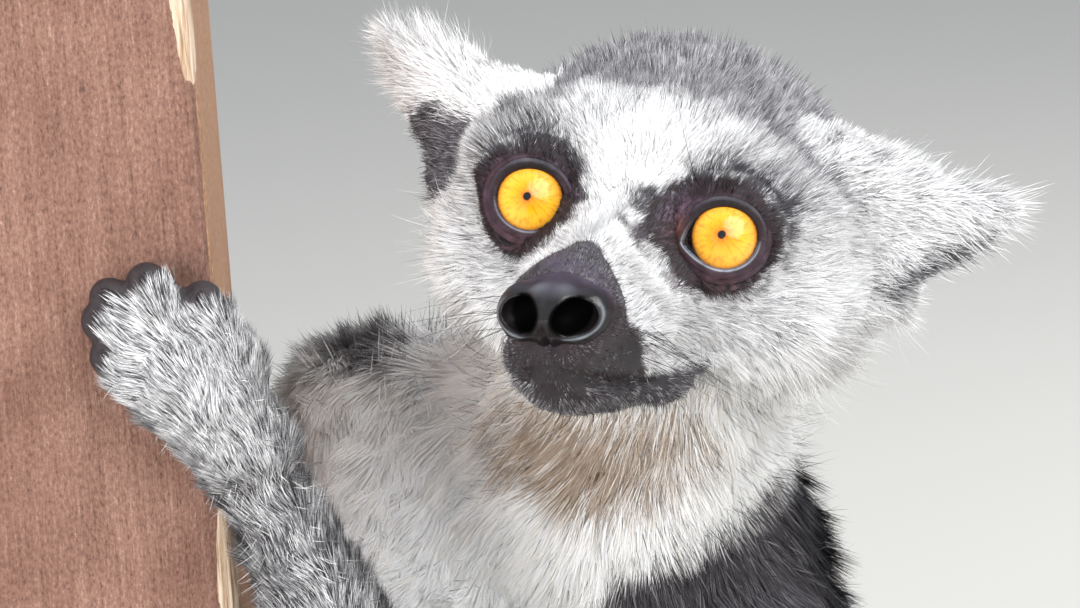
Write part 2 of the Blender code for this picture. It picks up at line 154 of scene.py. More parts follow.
def add_node(tree, kind, settings=None, **links):
    """Adds a node with its settings; links name an input and give a value or an output socket."""
    node = tree.nodes.new(kind)
    for name, value in (settings or {}).items():
        setattr(node, name, value)
    for name, value in links.items():
        socket = node.inputs[int(name[1:]) if name[1:].isdigit() else name.replace("_", " ")]
        if isinstance(value, bpy.types.NodeSocket):
            tree.links.new(value, socket)
        else:
            socket.default_value = value
    return node


def new_material(name, roughness, **sockets):
    """An empty material: its tree, and its Principled shader with the uniform values set."""
    material = bpy.data.materials.new(name)
    material.use_nodes = True
    tree = material.node_tree
    shader = tree.nodes["Principled BSDF"]
    shader.inputs["Roughness"].default_value = roughness
    for socket, value in sockets.items():
        shader.inputs[socket.replace("_", " ")].default_value = value
    return material, tree, shader


def add_ramp(tree, factor, *stops):
    """A colour ramp with (position, hex) stops."""
    ramp = add_node(tree, "ShaderNodeValToRGB", Fac=factor)
    row = ramp.color_ramp.elements
    while len(row) < len(stops):
        row.new(0.5)
    for element, (place, code) in zip(row, stops):
        element.position = place
        element.color = rgba(code)
    return ramp.outputs["Color"]


def add_bump(tree, shader, height, distance, strength=1.0):
    bump = add_node(tree, "ShaderNodeBump", Height=height, Distance=distance, Strength=strength)
    tree.links.new(bump.outputs["Normal"], shader.inputs["Normal"])


def object_coords(tree, scale=(1, 1, 1)):
    coords = add_node(tree, "ShaderNodeTexCoord")
    mapping = add_node(tree, "ShaderNodeMapping", Vector=coords.outputs["Object"], Scale=scale)
    return mapping.outputs["Vector"]


def link_object(name, mesh, material):
    obj = bpy.data.objects.new(name, mesh)
    bpy.context.scene.collection.objects.link(obj)
    mesh.materials.clear()
    mesh.materials.append(material)
    return obj


def add_piece(name, mesh, material, slot, *replaced):
    """Puts a finished mesh in the scene as a piece of the animal."""
    if not mesh.has_custom_normals:
        mesh.shade_smooth()
    mesh.name = name
    piece = link_object(name, mesh, material)
    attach(piece, "root")
    if replaced:
        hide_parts(*replaced)


def mesh_of(bm, name):
    mesh = bpy.data.meshes.new(name)
    bm.to_mesh(mesh)
    bm.free()
    return mesh


def evaluated_mesh(obj):
    depsgraph = bpy.context.evaluated_depsgraph_get()
    depsgraph.update()
    return bpy.data.meshes.new_from_object(obj.evaluated_get(depsgraph))


def remeshed(bm, voxel, rounds):
    """Joins the shapes in bm into one closed mesh of even quads."""
    obj = bpy.data.objects.new("clay", mesh_of(bm, "clay"))
    bpy.context.scene.collection.objects.link(obj)
    join = obj.modifiers.new("join", "REMESH")
    join.mode = "VOXEL"
    join.voxel_size = voxel
    if rounds:
        relax = obj.modifiers.new("relax", "SMOOTH")
        relax.iterations = rounds
    mesh = evaluated_mesh(obj)
    bpy.data.objects.remove(obj, do_unlink=True)
    return mesh


def read_points(mesh):
    points = np.empty(len(mesh.vertices) * 3)
    mesh.vertices.foreach_get("co", points)
    return points.reshape(-1, 3)


def write_points(mesh, points):
    mesh.vertices.foreach_set("co", points.astype(np.float32).ravel())
    mesh.update()


def read_edges(mesh):
    edges = np.empty(len(mesh.edges) * 2, np.int32)
    mesh.edges.foreach_get("vertices", edges)
    return edges.reshape(-1, 2)


def read_triangles(mesh):
    mesh.calc_loop_triangles()
    triangles = np.empty(len(mesh.loop_triangles) * 3, np.int32)
    mesh.loop_triangles.foreach_get("vertices", triangles)
    return triangles.reshape(-1, 3)


def sum_at(index, values, size):
    return np.stack([np.bincount(index, values[:, i], size) for i in range(values.shape[1])], 1)


def spread(values, edges, rounds, share=0.5):
    """Blends each vertex's values with its neighbours', as often as rounds says."""
    size = len(values)
    degree = np.maximum(np.bincount(edges.ravel(), minlength=size), 1)[:, None]
    for _ in range(rounds):
        mean = (sum_at(edges[:, 0], values[edges[:, 1]], size)
                + sum_at(edges[:, 1], values[edges[:, 0]], size)) / degree
        values = values + (mean - values) * share
    return values


def relaxed(points, edges, rounds, share, where):
    """Points drawn towards their neighbours, as strongly as where says."""
    return points + (spread(points, edges, rounds, share) - points) * where


def flattened(ways, normals):
    """Ways laid flat on the surface, as unit vectors."""
    return unit(ways - normals * np.sum(ways * normals, axis=1, keepdims=True))


def vertex_normals(points, triangles):
    a, b, c = (points[triangles[:, i]] for i in range(3))
    face = np.cross(b - a, c - a)
    return unit(sum(sum_at(triangles[:, i], face, len(points)) for i in range(3)))


def set_tint(mesh, colours):
    """Stores one linear colour for each vertex."""
    layer = mesh.color_attributes.new("tint", "FLOAT_COLOR", "POINT")
    full = np.ones((len(colours), 4), np.float32)
    full[:, :3] = colours
    layer.data.foreach_set("color", full.ravel())


def ball(bm, centre, radii, turn=HEAD_TURN, detail=4):
    """Adds an ellipsoid; centre in metres, radii in millimetres along the axes that turn gives."""
    made = bmesh.ops.create_icosphere(bm, subdivisions=detail, radius=1.0)
    matrix = turn @ Matrix.Diagonal(Vector(radii)) * MM
    for vert in made["verts"]:
        vert.co = centre + matrix @ vert.co


def head_ball(bm, left, back, up, radii):
    ball(bm, Vector(from_head((left, back, up))), radii)


# ------------------------------------------------------------------ regions of the body

FLESH = sorted(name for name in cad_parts
               if not name.startswith(("stand_", "perch_", "eye_")) and name != "nose")
NUMBER = {name: index for index, name in enumerate(FLESH)}

# For each region: hair length, blade width, lift from the skin in degrees, depth of the coat (mm)
COAT = {
    "head": (7.5, 0.30, 20, 2.6), "ear_left": (9, 0.28, 15, 2.4), "ear_right": (9, 0.28, 15, 2.4),
    "neck": (11, 0.27, 16, 5.0), "chest": (12, 0.30, 15, 5.5), "abdomen": (18, 0.80, 20, 6.0),
    "rump": (18, 0.85, 20, 6.0), "upper_arm_left": (12, 0.32, 18, 4.5),
    "upper_arm_right": (9, 0.28, 15, 4.5), "forearm_left": (10, 0.50, 20, 3.0),
    "forearm_right": (6.4, 0.22, 17, 2.6), "hand_left": (5, 0.35, 13, 1.0),
    "hand_right": (4.2, 0.21, 13, 1.0), "thigh": (16, 0.80, 20, 5.5), "shin": (11, 0.60, 20, 3.2),
    "foot": (6, 0.45, 14, 1.0), "tail": (15, 0.70, 30, 5.5)}

# The hair of a region lies from the first node towards the second
FLOW = {
    "neck": ("head", "chest"), "chest": ("neck", "abdomen"), "abdomen": ("chest", "rump"),
    "rump": ("abdomen", "tail_1"), "upper_arm": ("chest", "forearm"), "forearm": ("forearm", "hand"),
    "hand": ("forearm", "hand"), "thigh": ("rump", "shin"), "shin": ("thigh", "foot"),
    "foot": ("shin", "foot")}

# The tail's middle line, as in the part's source (millimetres)
TAIL_ROUTE = np.array([(0, 108, 56), (20, 146, 40), (66, 152, 31.5), (108, 122, 31.5), (124, 62, 31.5),
                       (125, -4, 31.5), (112, -66, 31.5), (72, -104, 31.5), (14, -116, 31.5),
                       (-44, -112, 31.5), (-88, -92, 30.5)]) * MM


def smooth_route(points, per_span):
    """Points along a Catmull-Rom curve through the given ones."""
    row = np.vstack([2 * points[0] - points[1], points, 2 * points[-1] - points[-2]])
    t = (np.arange(per_span) / per_span)[:, None]
    spans = [0.5 * (2 * b + (c - a) * t + (2 * a - 5 * b + 4 * c - d) * t ** 2
                    + (3 * b - a - 3 * c + d) * t ** 3)
             for a, b, c, d in zip(row, row[1:], row[2:], row[3:])]
    return np.vstack([*spans, points[-1:]])


def tree_of(points):
    tree = KDTree(len(points))
    for index, point in enumerate(points):
        tree.insert(point, index)
    tree.balance()
    return tree


def nearest(tree, points):
    return np.array([tree.find(point)[1] for point in points])


TAIL_LINE = smooth_route(TAIL_ROUTE, 24)
TAIL_TREE = tree_of(TAIL_LINE)
TAIL_HEADING = unit(np.gradient(TAIL_LINE, axis=0))


def flow_ends(name):
    """The two places that a region's hair lies between."""
    side = "_left" if name.endswith("left") else "_right"
    ends = []
    for end in FLOW[name.replace(side, "")]:
        ends.append(middle(end if end in NUMBER else end + side))
    return ends


def fold(u, v):
    """Random places in a square, folded over into a triangle."""
    flip = u + v > 1
    return np.where(flip, 1 - u, u), np.where(flip, 1 - v, v)


def sample_solids():
    """Points all over the solids of flesh, each with its solid's number."""
    rng = np.random.default_rng(3)
    places, numbers = [], []
    for name in FLESH:
        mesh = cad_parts[name].data
        points, triangles = read_points(mesh), read_triangles(mesh)
        a, b, c = (points[triangles[:, i]] for i in range(3))
        areas = np.linalg.norm(np.cross(b - a, c - a), axis=1)
        picks = rng.choice(len(triangles), SOLID_SAMPLES, p=areas / areas.sum())
        u, v = fold(*rng.random((2, SOLID_SAMPLES, 1)))
        places.append(a[picks] + (b - a)[picks] * u + (c - a)[picks] * v)
        numbers.append(np.full(SOLID_SAMPLES, NUMBER[name]))
    return tree_of(np.vstack(places)), np.concatenate(numbers)


def coat_row(name):
    for key in (name, name.split("_")[0]):
        if key in COAT:
            return COAT[key]
    raise KeyError(name)


def in_regions(labels, *names):
    """1 where a label is of a region whose name begins with one of names, else 0."""
    return np.isin(labels, [NUMBER[name] for name in FLESH if name.startswith(names)]).astype(float)


# ------------------------------------------------------------------ digits

def digit_rows():
    """Each digit: its node, its root, knuckle and tip in metres, and the way its nail faces."""
    rows = []

    def add(node, facing, *places):
        rows.append((node, np.array(places, float) * MM, np.array(facing, float)))

    grip = (0.1, -1, 0.25)
    add("hand_right", grip, (-67, -52.5, 291), (-72, -52.5, 294.5), (-76, -52.0, 298.3))
    add("hand_right", grip, (-66, -52.5, 296), (-73, -52.8, 301.0), (-77, -52.0, 304.8))
    add("hand_right", grip, (-63, -52.5, 298), (-69.5, -51.5, 304), (-75.3, -50.5, 308.5))
    add("hand_right", grip, (-60, -52.5, 298), (-65, -52.5, 305.5), (-68.5, -51.5, 311.0))
    add("hand_right", grip, (-56, -52.5, 297), (-57.5, -52.3, 302), (-59, -51.5, 307.0))
    for index in range(4):
        fan = (index - 1.5) * 6.4
        add("hand_left", (0, -1, 0.1), (67 + fan * 0.9, -75, 160), (67.5 + fan * 1.15, -77 - index % 2, 148),
            (67.5 + fan * 1.2, -75.5 - index % 2, 134 + abs(index - 1.6) * 3))
        fan = (index - 1.5) * 7.6
        for name, side in (("foot_left", 1), ("foot_right", -1)):
            add(name, (0, -0.2, 1), (side * (65 + fan * 0.7), -38, 19.5), (side * (65 + fan * 1.05), -52, 19),
                (side * (65.5 + fan * 1.25), -66 + abs(index - 1.4) * 4.5, 16.8))
    add("hand_left", (0, -1, 0.3), (60, -71, 170), (53, -73, 161), (50.5, -73.5, 152))
    for name, side in (("foot_left", 1), ("foot_right", -1)):
        add(name, (0, -0.2, 1), (side * 55, -18, 19.5), (side * 44, -30, 19), (side * 38, -41, 17))
    return rows


DIGITS = digit_rows()
DIGIT_RADII = (5.4, 4.8, 4.0)    # at root, knuckle and tip


def nearest_digit(points, node):
    """Each point's height above the node's nearest digit (mm), share of the way to its tip, and heading."""
    height = np.full(len(points), 1e9)
    share = np.zeros(len(points))
    heading = np.zeros_like(points)
    for name, places, _ in DIGITS:
        if name != node:
            continue
        for index, (a, b) in enumerate(zip(places, places[1:])):
            t = share_along(points, a, b)
            radius = DIGIT_RADII[index] + (DIGIT_RADII[index + 1] - DIGIT_RADII[index]) * t
            gap = np.linalg.norm(points - a - (b - a) * t[:, None], axis=1) / MM - radius
            closer = gap < height
            height[closer] = gap[closer]
            share[closer] = (index + t[closer]) / 2
            heading[closer] = unit(b - a)
    return height, share, heading


def digit_bareness(points, labels):
    """1 on the bare leather at the end of each digit, 0 where hair grows."""
    bare = np.zeros(len(points))
    for name, places, facing in DIGITS:
        here = labels == NUMBER[name]
        away = points[here] - places[2]
        upper = step(away @ unit(facing) / MM, 1.0, 3.2)
        reach = np.linalg.norm(away, axis=1) / MM
        along = away @ unit(places[2] - places[1]) / MM
        end = step(reach, 6.2, 5.0) * step(along + 1.2 * (1 - upper), -3.4, -1.8)
        bare[here] = np.maximum(bare[here], end)
    return bare


# ------------------------------------------------------------------ markings

# the pale bluish rim colour serves painted wet reflections and glints, the purple-grey 4F4856 a painted sheen
# on upward-facing leather, and the beige A8937F painted shadow under the chin
PALETTE = {name: linear(code) for name, code in {
    "white": "FBFAFA", "cream": "F1E7DA", "silver": "D3D2D3", "grey": "979598", "slate": "5B585E",
    "soot": "242023", "brown": "6B5A4E", "umber": "3E2C2E", "sand": "A8937F", "patch": "40303A",
    "plum": "74607A", "rust": "84503A", "leather": "2C2125", "painted_sheen": "4F4856", "rim": "9CA3AE",
    "pad": "352E30"}.items()}
HAIR = ("white", "cream", "silver", "grey", "slate", "soot", "brown", "umber", "sand")


def eye_patch(head):
    """How far out a point of the face lies from the nearer eye: 1 at the edge of the dark patch."""
    x, y, z = np.abs(head[:, 0]), head[:, 1], head[:, 2]
    inner = np.maximum(0, 17 - x)
    across = (x - 17) / np.where(x > 17, 10.4, np.where(head[:, 0] < 0, 9.4, 12.2))
    upright = (z - 0.6 - 0.28 * inner) / (9.4 - 0.34 * inner)
    return np.hypot(across, upright) + step(y, 4, 14) + step(y, -16, -21)


# Where the bare leather of the muzzle's sides ends: height, and place along the back axis, from below
MUZZLE_EDGE = [(-34, -34), (-29.5, -30), (-27, -18), (-24, -9), (-21.5, -16), (-19, -22.5), (-15.7, -24.8),
               (-9.8, -26.3), (-3.6, -28.8)]
# The dark stroke behind the left corner of the mouth, in the head's axes
MOUTH_CORNER = [(9, -22, -23), (12, -12, -24.7), (13.2, -5, -25.6)]


def muzzle_edge(head):
    """Positive on the bare leather of the muzzle, in millimetres ahead of its edge."""
    heights, places = np.array(MUZZLE_EDGE, float).T
    on_top = step(head[:, 2], -8, -2)
    top = -23.4 - 0.9 * (np.hypot(head[:, 0] + 0.6, 2.8) - 2.8)
    return np.interp(head[:, 2], heights, places) * (1 - on_top) + top * on_top - head[:, 1]


def markings(points, normals, labels):
    """The share of each hair colour at each point, the same for the skin and the coat."""
    share = {name: np.zeros(len(points)) for name in HAIR}
    head = to_head(points)
    x, y, z = head.T
    side = np.abs(x)
    on = partial(in_regions, labels)
    wander = cloud(points, 9 * MM, 11)
    fine = cloud(points, 3.5 * MM, 12)

    def paint(where, **parts):
        """Lays parts over what is there, as strongly as where says."""
        where = np.clip(where, 0, 1)
        for name in HAIR:
            share[name] = laid_over(share[name], parts.get(name, 0.0), where)

    # trunk: white below and in front, grey-brown over the back
    back = step(normals[:, 1] + 0.10 * normals[:, 2] + 0.10 * wander, 0.05, 0.4)
    back = back * np.maximum(step(points[:, 1], 0.006, 0.03), step(points[:, 2], 0.22, 0.2))
    paint(np.ones(len(points)), white=0.86, cream=0.14)
    paint(back * on("chest", "abdomen", "rump", "neck"), grey=0.42, slate=0.18, brown=0.22, silver=0.18)
    paint(on("thigh", "shin", "forearm_left"), grey=0.42, silver=0.33, slate=0.2, brown=0.05)
    inner = step(normals[:, 0] * np.sign(points[:, 0]), 0.0, -0.5)
    paint(on("thigh", "shin") * inner, white=0.6, silver=0.4)
    paint(on("foot", "hand_left"), silver=0.5, white=0.3, grey=0.2)

    # left shoulder and arm: dark slate, beginning along a slanting line across the chest
    line = points[:, 2] - (0.248 + (points[:, 0] - 0.0165) * 0.58) + 0.002 * wander
    shoulder = step(line, 0.003, -0.003) * step(points[:, 0], 0.005, 0.013) * step(points[:, 2], 0.2, 0.22)
    dark_arm = np.maximum(on("upper_arm_left"), shoulder * on("neck", "chest"))
    paint(dark_arm, slate=0.38, soot=0.55, grey=0.07)
    # right shoulder: a dark band over the top, white below it
    paint(on("upper_arm_right"), white=0.88, cream=0.12)
    top = step(points[:, 2] + 0.0015 * wander, 0.2775, 0.2815) * step(points[:, 0], -0.012, -0.02)
    behind = step(normals[:, 1], 0.1, 0.5)
    paint(np.maximum(top, behind * on("upper_arm_right")) * on("upper_arm_right", "chest"),
          slate=0.2, grey=0.5, silver=0.3)
    paint(on("forearm_right"), grey=0.14, silver=0.12, slate=0.22, soot=0.3, white=0.22)
    paint(on("hand_right"), silver=0.22, white=0.31, grey=0.16, slate=0.14, soot=0.17)
    # painted shade: dark between the digits of both hands
    for name in ("hand_right", "hand_left"):
        here = labels == NUMBER[name]
        height, outward, _ = nearest_digit(points[here], name)
        gap = np.zeros(len(points))
        gap[here] = step(height, -0.6, 0.6) * step(outward, 0.3, 0.6)
        paint(gap * 0.8, soot=0.6, slate=0.4)

    # head: white face, grey cap and nape, dark round the eyes
    on_head = on("head")
    paint(on_head, white=0.65, silver=0.24, grey=0.08, slate=0.03)
    temple = step(side, 18, 25) * step(z, -14, -3) * step(y, -3, 6)
    paint(on_head * temple * 0.7, silver=0.46, grey=0.2, white=0.3, slate=0.04)
    under_eye = bell(side - 18, 11) * bell(z + 13, 6.5) * step(y, 12, 0)
    paint(on_head * under_eye * 0.85, silver=0.4, grey=0.18, white=0.26, slate=0.16)
    blaze = bell(x, 7) * step(z, -2, 8) * step(y, 8, 0)
    paint(on_head * blaze * 0.8, white=1.0)
    cap = step(y + 1.2 * wander + 0.6 * fine - 0.16 * side, 4.5, 13.0) * step(z + wander, 0.0, 8.0)
    flank = bell(side - 24, 8) * step(z + wander, -2, 5) * step(y + wander + fine, -2, 6) * 0.7
    paint(on_head * np.maximum(cap, flank), grey=0.38, slate=0.3, silver=0.18, soot=0.14)
    nape = step(y, 44, 56) * step(z, -26, -10)
    paint(on_head * nape, grey=0.5, slate=0.35, brown=0.15)
    brow = bell(side - 18, 9.5) * bell(z - 11.0, 3.4) * step(y, 10, 3)
    paint(on_head * brow * 0.55, slate=0.4, grey=0.34, soot=0.26)
    rim = eye_patch(head)
    paint(on_head * step(rim + 0.1 * fine, 1.34, 1.0) * (0.55 + 0.4 * step(z, -4, 3)), soot=0.5, slate=0.5)
    paint(on_head * step(rim, 1.04, 0.96), soot=0.55, slate=0.1, umber=0.35)
    edge = muzzle_edge(head)
    corner = step(distance_to_path(np.abs(head) * (1, 0, 0) + head * (0, 1, 1), MOUTH_CORNER)
                  + 0.7 * fine, 5.2, 2.6)
    mouth = np.maximum(step(z, -17, -21) * step(edge, -6, -1), corner)
    leather = np.maximum(step(edge + 0.6 * fine, -1.6, 0.2), mouth)
    paint(on_head * leather, soot=0.5, slate=0.16, umber=0.28, grey=0.06)
    # painted sheen: lighter, greyer hair where the muzzle faces up
    on_top = step(normals @ HEAD_AXES[:, 2], 0.1, 0.6)
    paint(on_head * leather * on_top, soot=0.42, slate=0.32, grey=0.18, umber=0.08)
    chin = step(z, -18, -22) * (1 - on_top)
    paint(on_head * leather * chin, soot=0.58, slate=0.2, grey=0.17, silver=0.05)
    throat = step(z, -27, -32) * step(edge, 0, -4)
    paint(on_head * throat * 0.7, cream=0.85, white=0.15)
    # painted shadow under the chin: warm beige and brown, fading downward, for the shade there and its warm
    # bounce light
    below_chin = np.linalg.norm((head - (-7, 16, -48)) / (1.5, 1.5, 1), axis=1)
    paint(step(below_chin + 2 * wander, 18, 6) * on("head", "neck", "chest") * 0.9, sand=0.64, cream=0.06,
          brown=0.3)

    # ears: white, with dark hair in the hollow
    ear = on("ear")
    paint(ear, white=0.85, silver=0.15)
    paint(ear * step(x, -5, 5), white=0.46, silver=0.38, grey=0.16)
    inner_side = step(normals @ HEAD_AXES[:, 1], 0.25, -0.2)
    far = step(z + 1.2 * wander, 7, 1) * step(side, 56, 49) * step(np.hypot(x + 40, z + 6), 12.5, 10.5)
    near = bell(z + 14.0 - 0.65 * (x - 39.5), 2.2) * step(side, 60, 52)
    paint(ear * inner_side * np.where(x < 0, far, near), slate=0.5, soot=0.3, grey=0.2)

    # tail: thirteen pairs of rings and a black tip
    on_tail = on("tail")
    place = nearest(TAIL_TREE, points[on_tail > 0])
    along = np.zeros(len(points))
    along[on_tail > 0] = place / (len(TAIL_LINE) - 1)
    black = step(np.sin(along * 2 * pi * 13.5 + 0.25 * wander), -0.15, 0.15)
    black = np.maximum(black, step(along, 0.95, 0.965))
    paint(on_tail, white=0.8, silver=0.2)
    paint(on_tail * black, soot=0.85, slate=0.15)
    return share


def patch_tone(points):
    """The bare skin round the eyes: purple-brown, plum towards the nose, rusty at the inner corner."""
    head = to_head(points)
    side, up = np.abs(head[:, 0]), head[:, 2]
    grain = cloud(points, 1.6 * MM, 14)
    colour = np.tile(PALETTE["patch"], (len(points), 1))
    for name, left, height, size, most in (("plum", 7.0, 4.0, 4.2, 0.75), ("rust", 11.5, 1.6, 2.8, 0.55),
                                           ("rust", 19, -8.5, 5.0, 0.12), ("umber", 22, 7.0, 6.0, 0.5)):
        where = most * bell(np.hypot(side - left, up - height) + 0.6 * grain, size)[:, None]
        colour = laid_over(colour, PALETTE[name], where)
    return colour * (1 + 0.22 * np.clip(grain, -1, 1))[:, None]


def skin_colours(points, normals, labels):
    """The skin's colour: bare leather where hair is thin, and the hair's shade elsewhere, with painted sheen
    on the top of the muzzle and painted shade by the far eye.
    """
    share = markings(points, normals, labels)
    total = sum(share.values())[:, None]
    colour = sum(share[name][:, None] * PALETTE[name] for name in HAIR) / np.maximum(total, 1e-6)
    head = to_head(points)
    on_head = labels == NUMBER["head"]

    def lay(where, name):
        nonlocal colour
        colour = laid_over(colour, PALETTE[name], np.clip(where, 0, 1)[:, None])

    ring = (step(eye_patch(head), 1.12, 0.95) * on_head)[:, None]
    colour = laid_over(colour, patch_tone(points), ring)
    # painted shade: soot on the skin at the inner side of the far eye's socket
    to_eye = np.linalg.norm(head - (-18, 0, 0), axis=1)
    lay(step(to_eye, 10.8, 9.6) * step(head[:, 0], -17, -14), "soot")
    edge = muzzle_edge(head)
    lay(step(edge, -1.0, 0.5) * on_head, "leather")
    # painted sheen: a lighter purple-grey on the bare leather where the muzzle faces up
    lay(step(edge, -1.0, 0.5) * on_head * step(normals @ HEAD_AXES[:, 2], 0.1, 0.75) * 0.9, "painted_sheen")
    below = step(head[:, 2], -8, -13)
    lay(step(edge, -3.0, 0.5) * below * on_head, "soot")
    lay(digit_bareness(points, labels), "pad")
    return colour


# ------------------------------------------------------------------ skin

def flesh_bmesh():
    """All solids of flesh, each a little swollen so that they join."""
    bm = bmesh.new()
    for name in FLESH:
        part = bmesh.new()
        part.from_mesh(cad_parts[name].data)
        bmesh.ops.remove_doubles(part, verts=part.verts, dist=0.001 * MM)
        part.normal_update()
        for vert in part.verts:
            vert.co += vert.normal * GAP_CLOSER
        mesh = mesh_of(part, name + "_swollen")
        bm.from_mesh(mesh)
        bpy.data.meshes.remove(mesh)
    for side in EYE_CENTRES:
        ball(bm, EYE_CENTRES[side], (EYE_RADIUS,) * 3)
    # lobes of the ears
    head_ball(bm, -41, 26.5, -7, (10.5, 5, 10))
    head_ball(bm, 42, 27, -12, (11, 5, 10))
    head_ball(bm, 36, 22, -18, (7, 6, 8))
    # the muzzle's bridge and chin, then on each side its lip, its flank and the corner of the jaw
    head_ball(bm, 0, -28.4, -4.8, (9.4, 8.0, 8.8))
    head_ball(bm, 0, -28, -20.3, (9.6, 7.4, 6.2))
    for side in (-1, 1):
        head_ball(bm, side * 4.2, -32.6, -12.2, (5.4, 6.2, 5.2))
        head_ball(bm, side * 5.8, -30.6, -6.2, (5.2, 5.0, 5.8))
        head_ball(bm, side * 9.5, -9.5, -25.3, (8.2, 9.5, 6.0))
    return bm


def is_face(points):
    """True on the front of the head, where the skin needs its finest mesh."""
    x, y, z = to_head(points).T
    return (y > -46) & (y < 10) & (np.abs(x) < 34) & (z > -38) & (z < 18)


def is_muzzle_or_eye(points):
    """True where the bare skin shows: the muzzle and the orbits."""
    head = to_head(points)
    return is_face(points) & ((muzzle_edge(head) > -3) | (eye_patch(head) < 1.5))


def is_near(points, *nodes):
    """True within 2 mm of the box round one of the nodes."""
    wanted = np.zeros(len(points), bool)
    for node in nodes:
        low, high = (np.array(corner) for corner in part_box(node))
        wanted |= np.all((points > low - 2 * MM) & (points < high + 2 * MM), axis=1)
    return wanted


def refine(mesh, inside):
    """Halves the edges of the faces where inside is true."""
    wanted = inside(read_points(mesh))
    bm = bmesh.new()
    bm.from_mesh(mesh)
    edges = [edge for edge in bm.edges if wanted[edge.verts[0].index] and wanted[edge.verts[1].index]]
    bmesh.ops.subdivide_edges(bm, edges=edges, cuts=1, use_grid_fill=True)
    bm.to_mesh(mesh)
    bm.free()


# Where the lips meet, from the middle to the left corner, in the head's axes
MOUTH_LINE = [(0, -37, -16.0), (4, -36, -16.9), (8, -31.5, -18.3), (10.7, -22, -20.9), (12.5, -12, -23.5)]


def sculpt_face(points, normals, labels):
    """Presses the mouth line into the skin, with fuller lips above and below it."""
    mirrored = to_head(points)
    mirrored[:, 0] = np.abs(mirrored[:, 0])
    on_head = labels == NUMBER["head"]
    gap = distance_to_path(mirrored, MOUTH_LINE)
    below = np.interp(mirrored[:, 1], [-36, -30, -22, -12], [-16.9, -18.7, -20.9, -23.5]) - mirrored[:, 2]
    press = -1.7 * bell(gap, 0.9) + 0.7 * bell(gap - 2.4, 1.4) * np.where(below > 0, 0.5, 1.0)
    groove = bell(mirrored[:, 0], 0.8) * step(mirrored[:, 1], -34, -36) * step(mirrored[:, 2], -15, -13)
    press -= 0.7 * groove
    return points + normals * (press * on_head * MM)[:, None]


def narrow_bridge(points, labels):
    """Draws the root of the muzzle in between the eyes, most at its top, like a gable."""
    head = to_head(points)
    side = np.abs(head[:, 0])
    here = step(head[:, 1], -3, -10) * step(head[:, 1], -31, -21) * step(head[:, 2], -15, -4)
    here = here * step(head[:, 2], 24, 12) * step(side, 15.5, 11) * (labels == NUMBER["head"])
    head[:, 0] *= 1 - 0.42 * here
    return from_head(head)


def reach_forward(points):
    """Draws the front of the muzzle forward and a little up, the upper lip more than the chin."""
    head = to_head(points)
    ahead = step(head[:, 1], -22, -38) * step(np.abs(head[:, 0]), 24, 16)
    upper = step(head[:, 2], -20, -14)
    head[:, 2] += ahead * (0.9 + upper * (1.3 + 0.15 * head[:, 0]))
    head[:, 1] -= ahead * (2.8 + 1.4 * upper)
    return from_head(head)


def orbit_height(theta, around):
    """Height of the skin round an eye above the eye's centre, in millimetres.

    theta is the angle from the eye's axis in degrees, and around is 0 towards the nose, 90 upwards.
    """
    inner = np.maximum(0, np.cos(around)) ** 2
    upper = np.maximum(0, np.sin(around))
    lower = np.maximum(0, -np.sin(around))
    flare = 0.5 + 1.8 * inner + 1.1 * upper + 0.5 * lower
    canthus = 13 * np.exp(-((around + 0.24) / 0.42) ** 2)
    return 7.2 + 2.05 * step(theta - canthus, 44, 57) + flare * step(theta - canthus * 0.5, 58, 84)


def around_eye(points, side):
    """Angle from the eye's axis in degrees, angle round it from the nose's side, and distance in mm."""
    local = (points - np.array(EYE_CENTRES[side])) @ np.array(eye_turn(side)) / MM
    radius = np.linalg.norm(local, axis=1)
    theta = np.degrees(np.arctan2(np.hypot(local[:, 0], local[:, 1]), local[:, 2]))
    return theta, np.arctan2(local[:, 1], local[:, 0] * INWARD[side]), radius


INWARD = {"left": -1, "right": 1}    # which way of an eye's first axis points to the nose
EYE_CLEARANCE = 8.6      # how far the nose's side stays from the eye's axis


def sculpt_orbits(points):
    """Shapes the skin round each eye to a shallow bowl that the lids sit in."""
    for side in EYE_CENTRES:
        theta, around, radius = around_eye(points, side)
        wanted = orbit_height(theta, around)
        near = step(radius, 17, 12) * step(theta, 98, 78)
        low = np.minimum(radius, wanted)
        raised = np.where((radius > 8.7) & (theta > 55), np.maximum(low, wanted), low)
        change = (raised / np.maximum(radius, 1e-6) - 1) * near
        away = points - np.array(EYE_CENTRES[side])
        axis = np.array(gaze(side))
        ahead = away @ axis / MM
        sideways = away - np.outer(ahead, axis) * MM
        clear = np.linalg.norm(sideways, axis=1) / MM
        push = np.clip(EYE_CLEARANCE - clear, 0, 4) * step(radius, 9.4, 10.4) * step(ahead, 34, 28)
        points = points + away * change[:, None] + unit(sideways) * (push * MM)[:, None]
    return points


def sculpt_digits(points, edges, triangles, labels):
    """Draws the skin in between the digits, so that each stands free."""
    gently = is_near(points, *HANDS_AND_FEET)[:, None]
    for _ in range(9):
        normals = vertex_normals(points, triangles)
        for node in HANDS_AND_FEET:
            here = labels == NUMBER[node]
            height, share, _ = nearest_digit(points[here], node)
            move = np.clip(height + 0.3, -0.25, 0.9) * step(share, 0.12, 0.4)
            points[here] -= normals[here] * (move * MM)[:, None]
        points = relaxed(points, edges, 1, 0.4, gently)
    for _ in range(2):
        calm = spread(points, edges, 16, 0.5)
        stray = (np.linalg.norm(points - calm, axis=1) > 0.8 * MM)[:, None] * gently
        points = np.where(stray > 0, calm, points)
    return relaxed(points, edges, 2, 0.5, gently)


EAR_SHORTER = 0.2        # share of the ear that is only hair at its end


def shorten_ears(points, labels):
    """Draws the ends of the ears in along their length."""
    for name, side in (("ear_left", 1), ("ear_right", -1)):
        here = labels == NUMBER[name]
        axis = HEAD_AXES @ unit(np.array([side * 39.5, 15, 10.8]))
        base = from_head((side * 27, 26, -1))
        along = np.maximum(0, (points[here] - base) @ axis)
        points[here] -= axis * (EAR_SHORTER * along)[:, None]
    return points


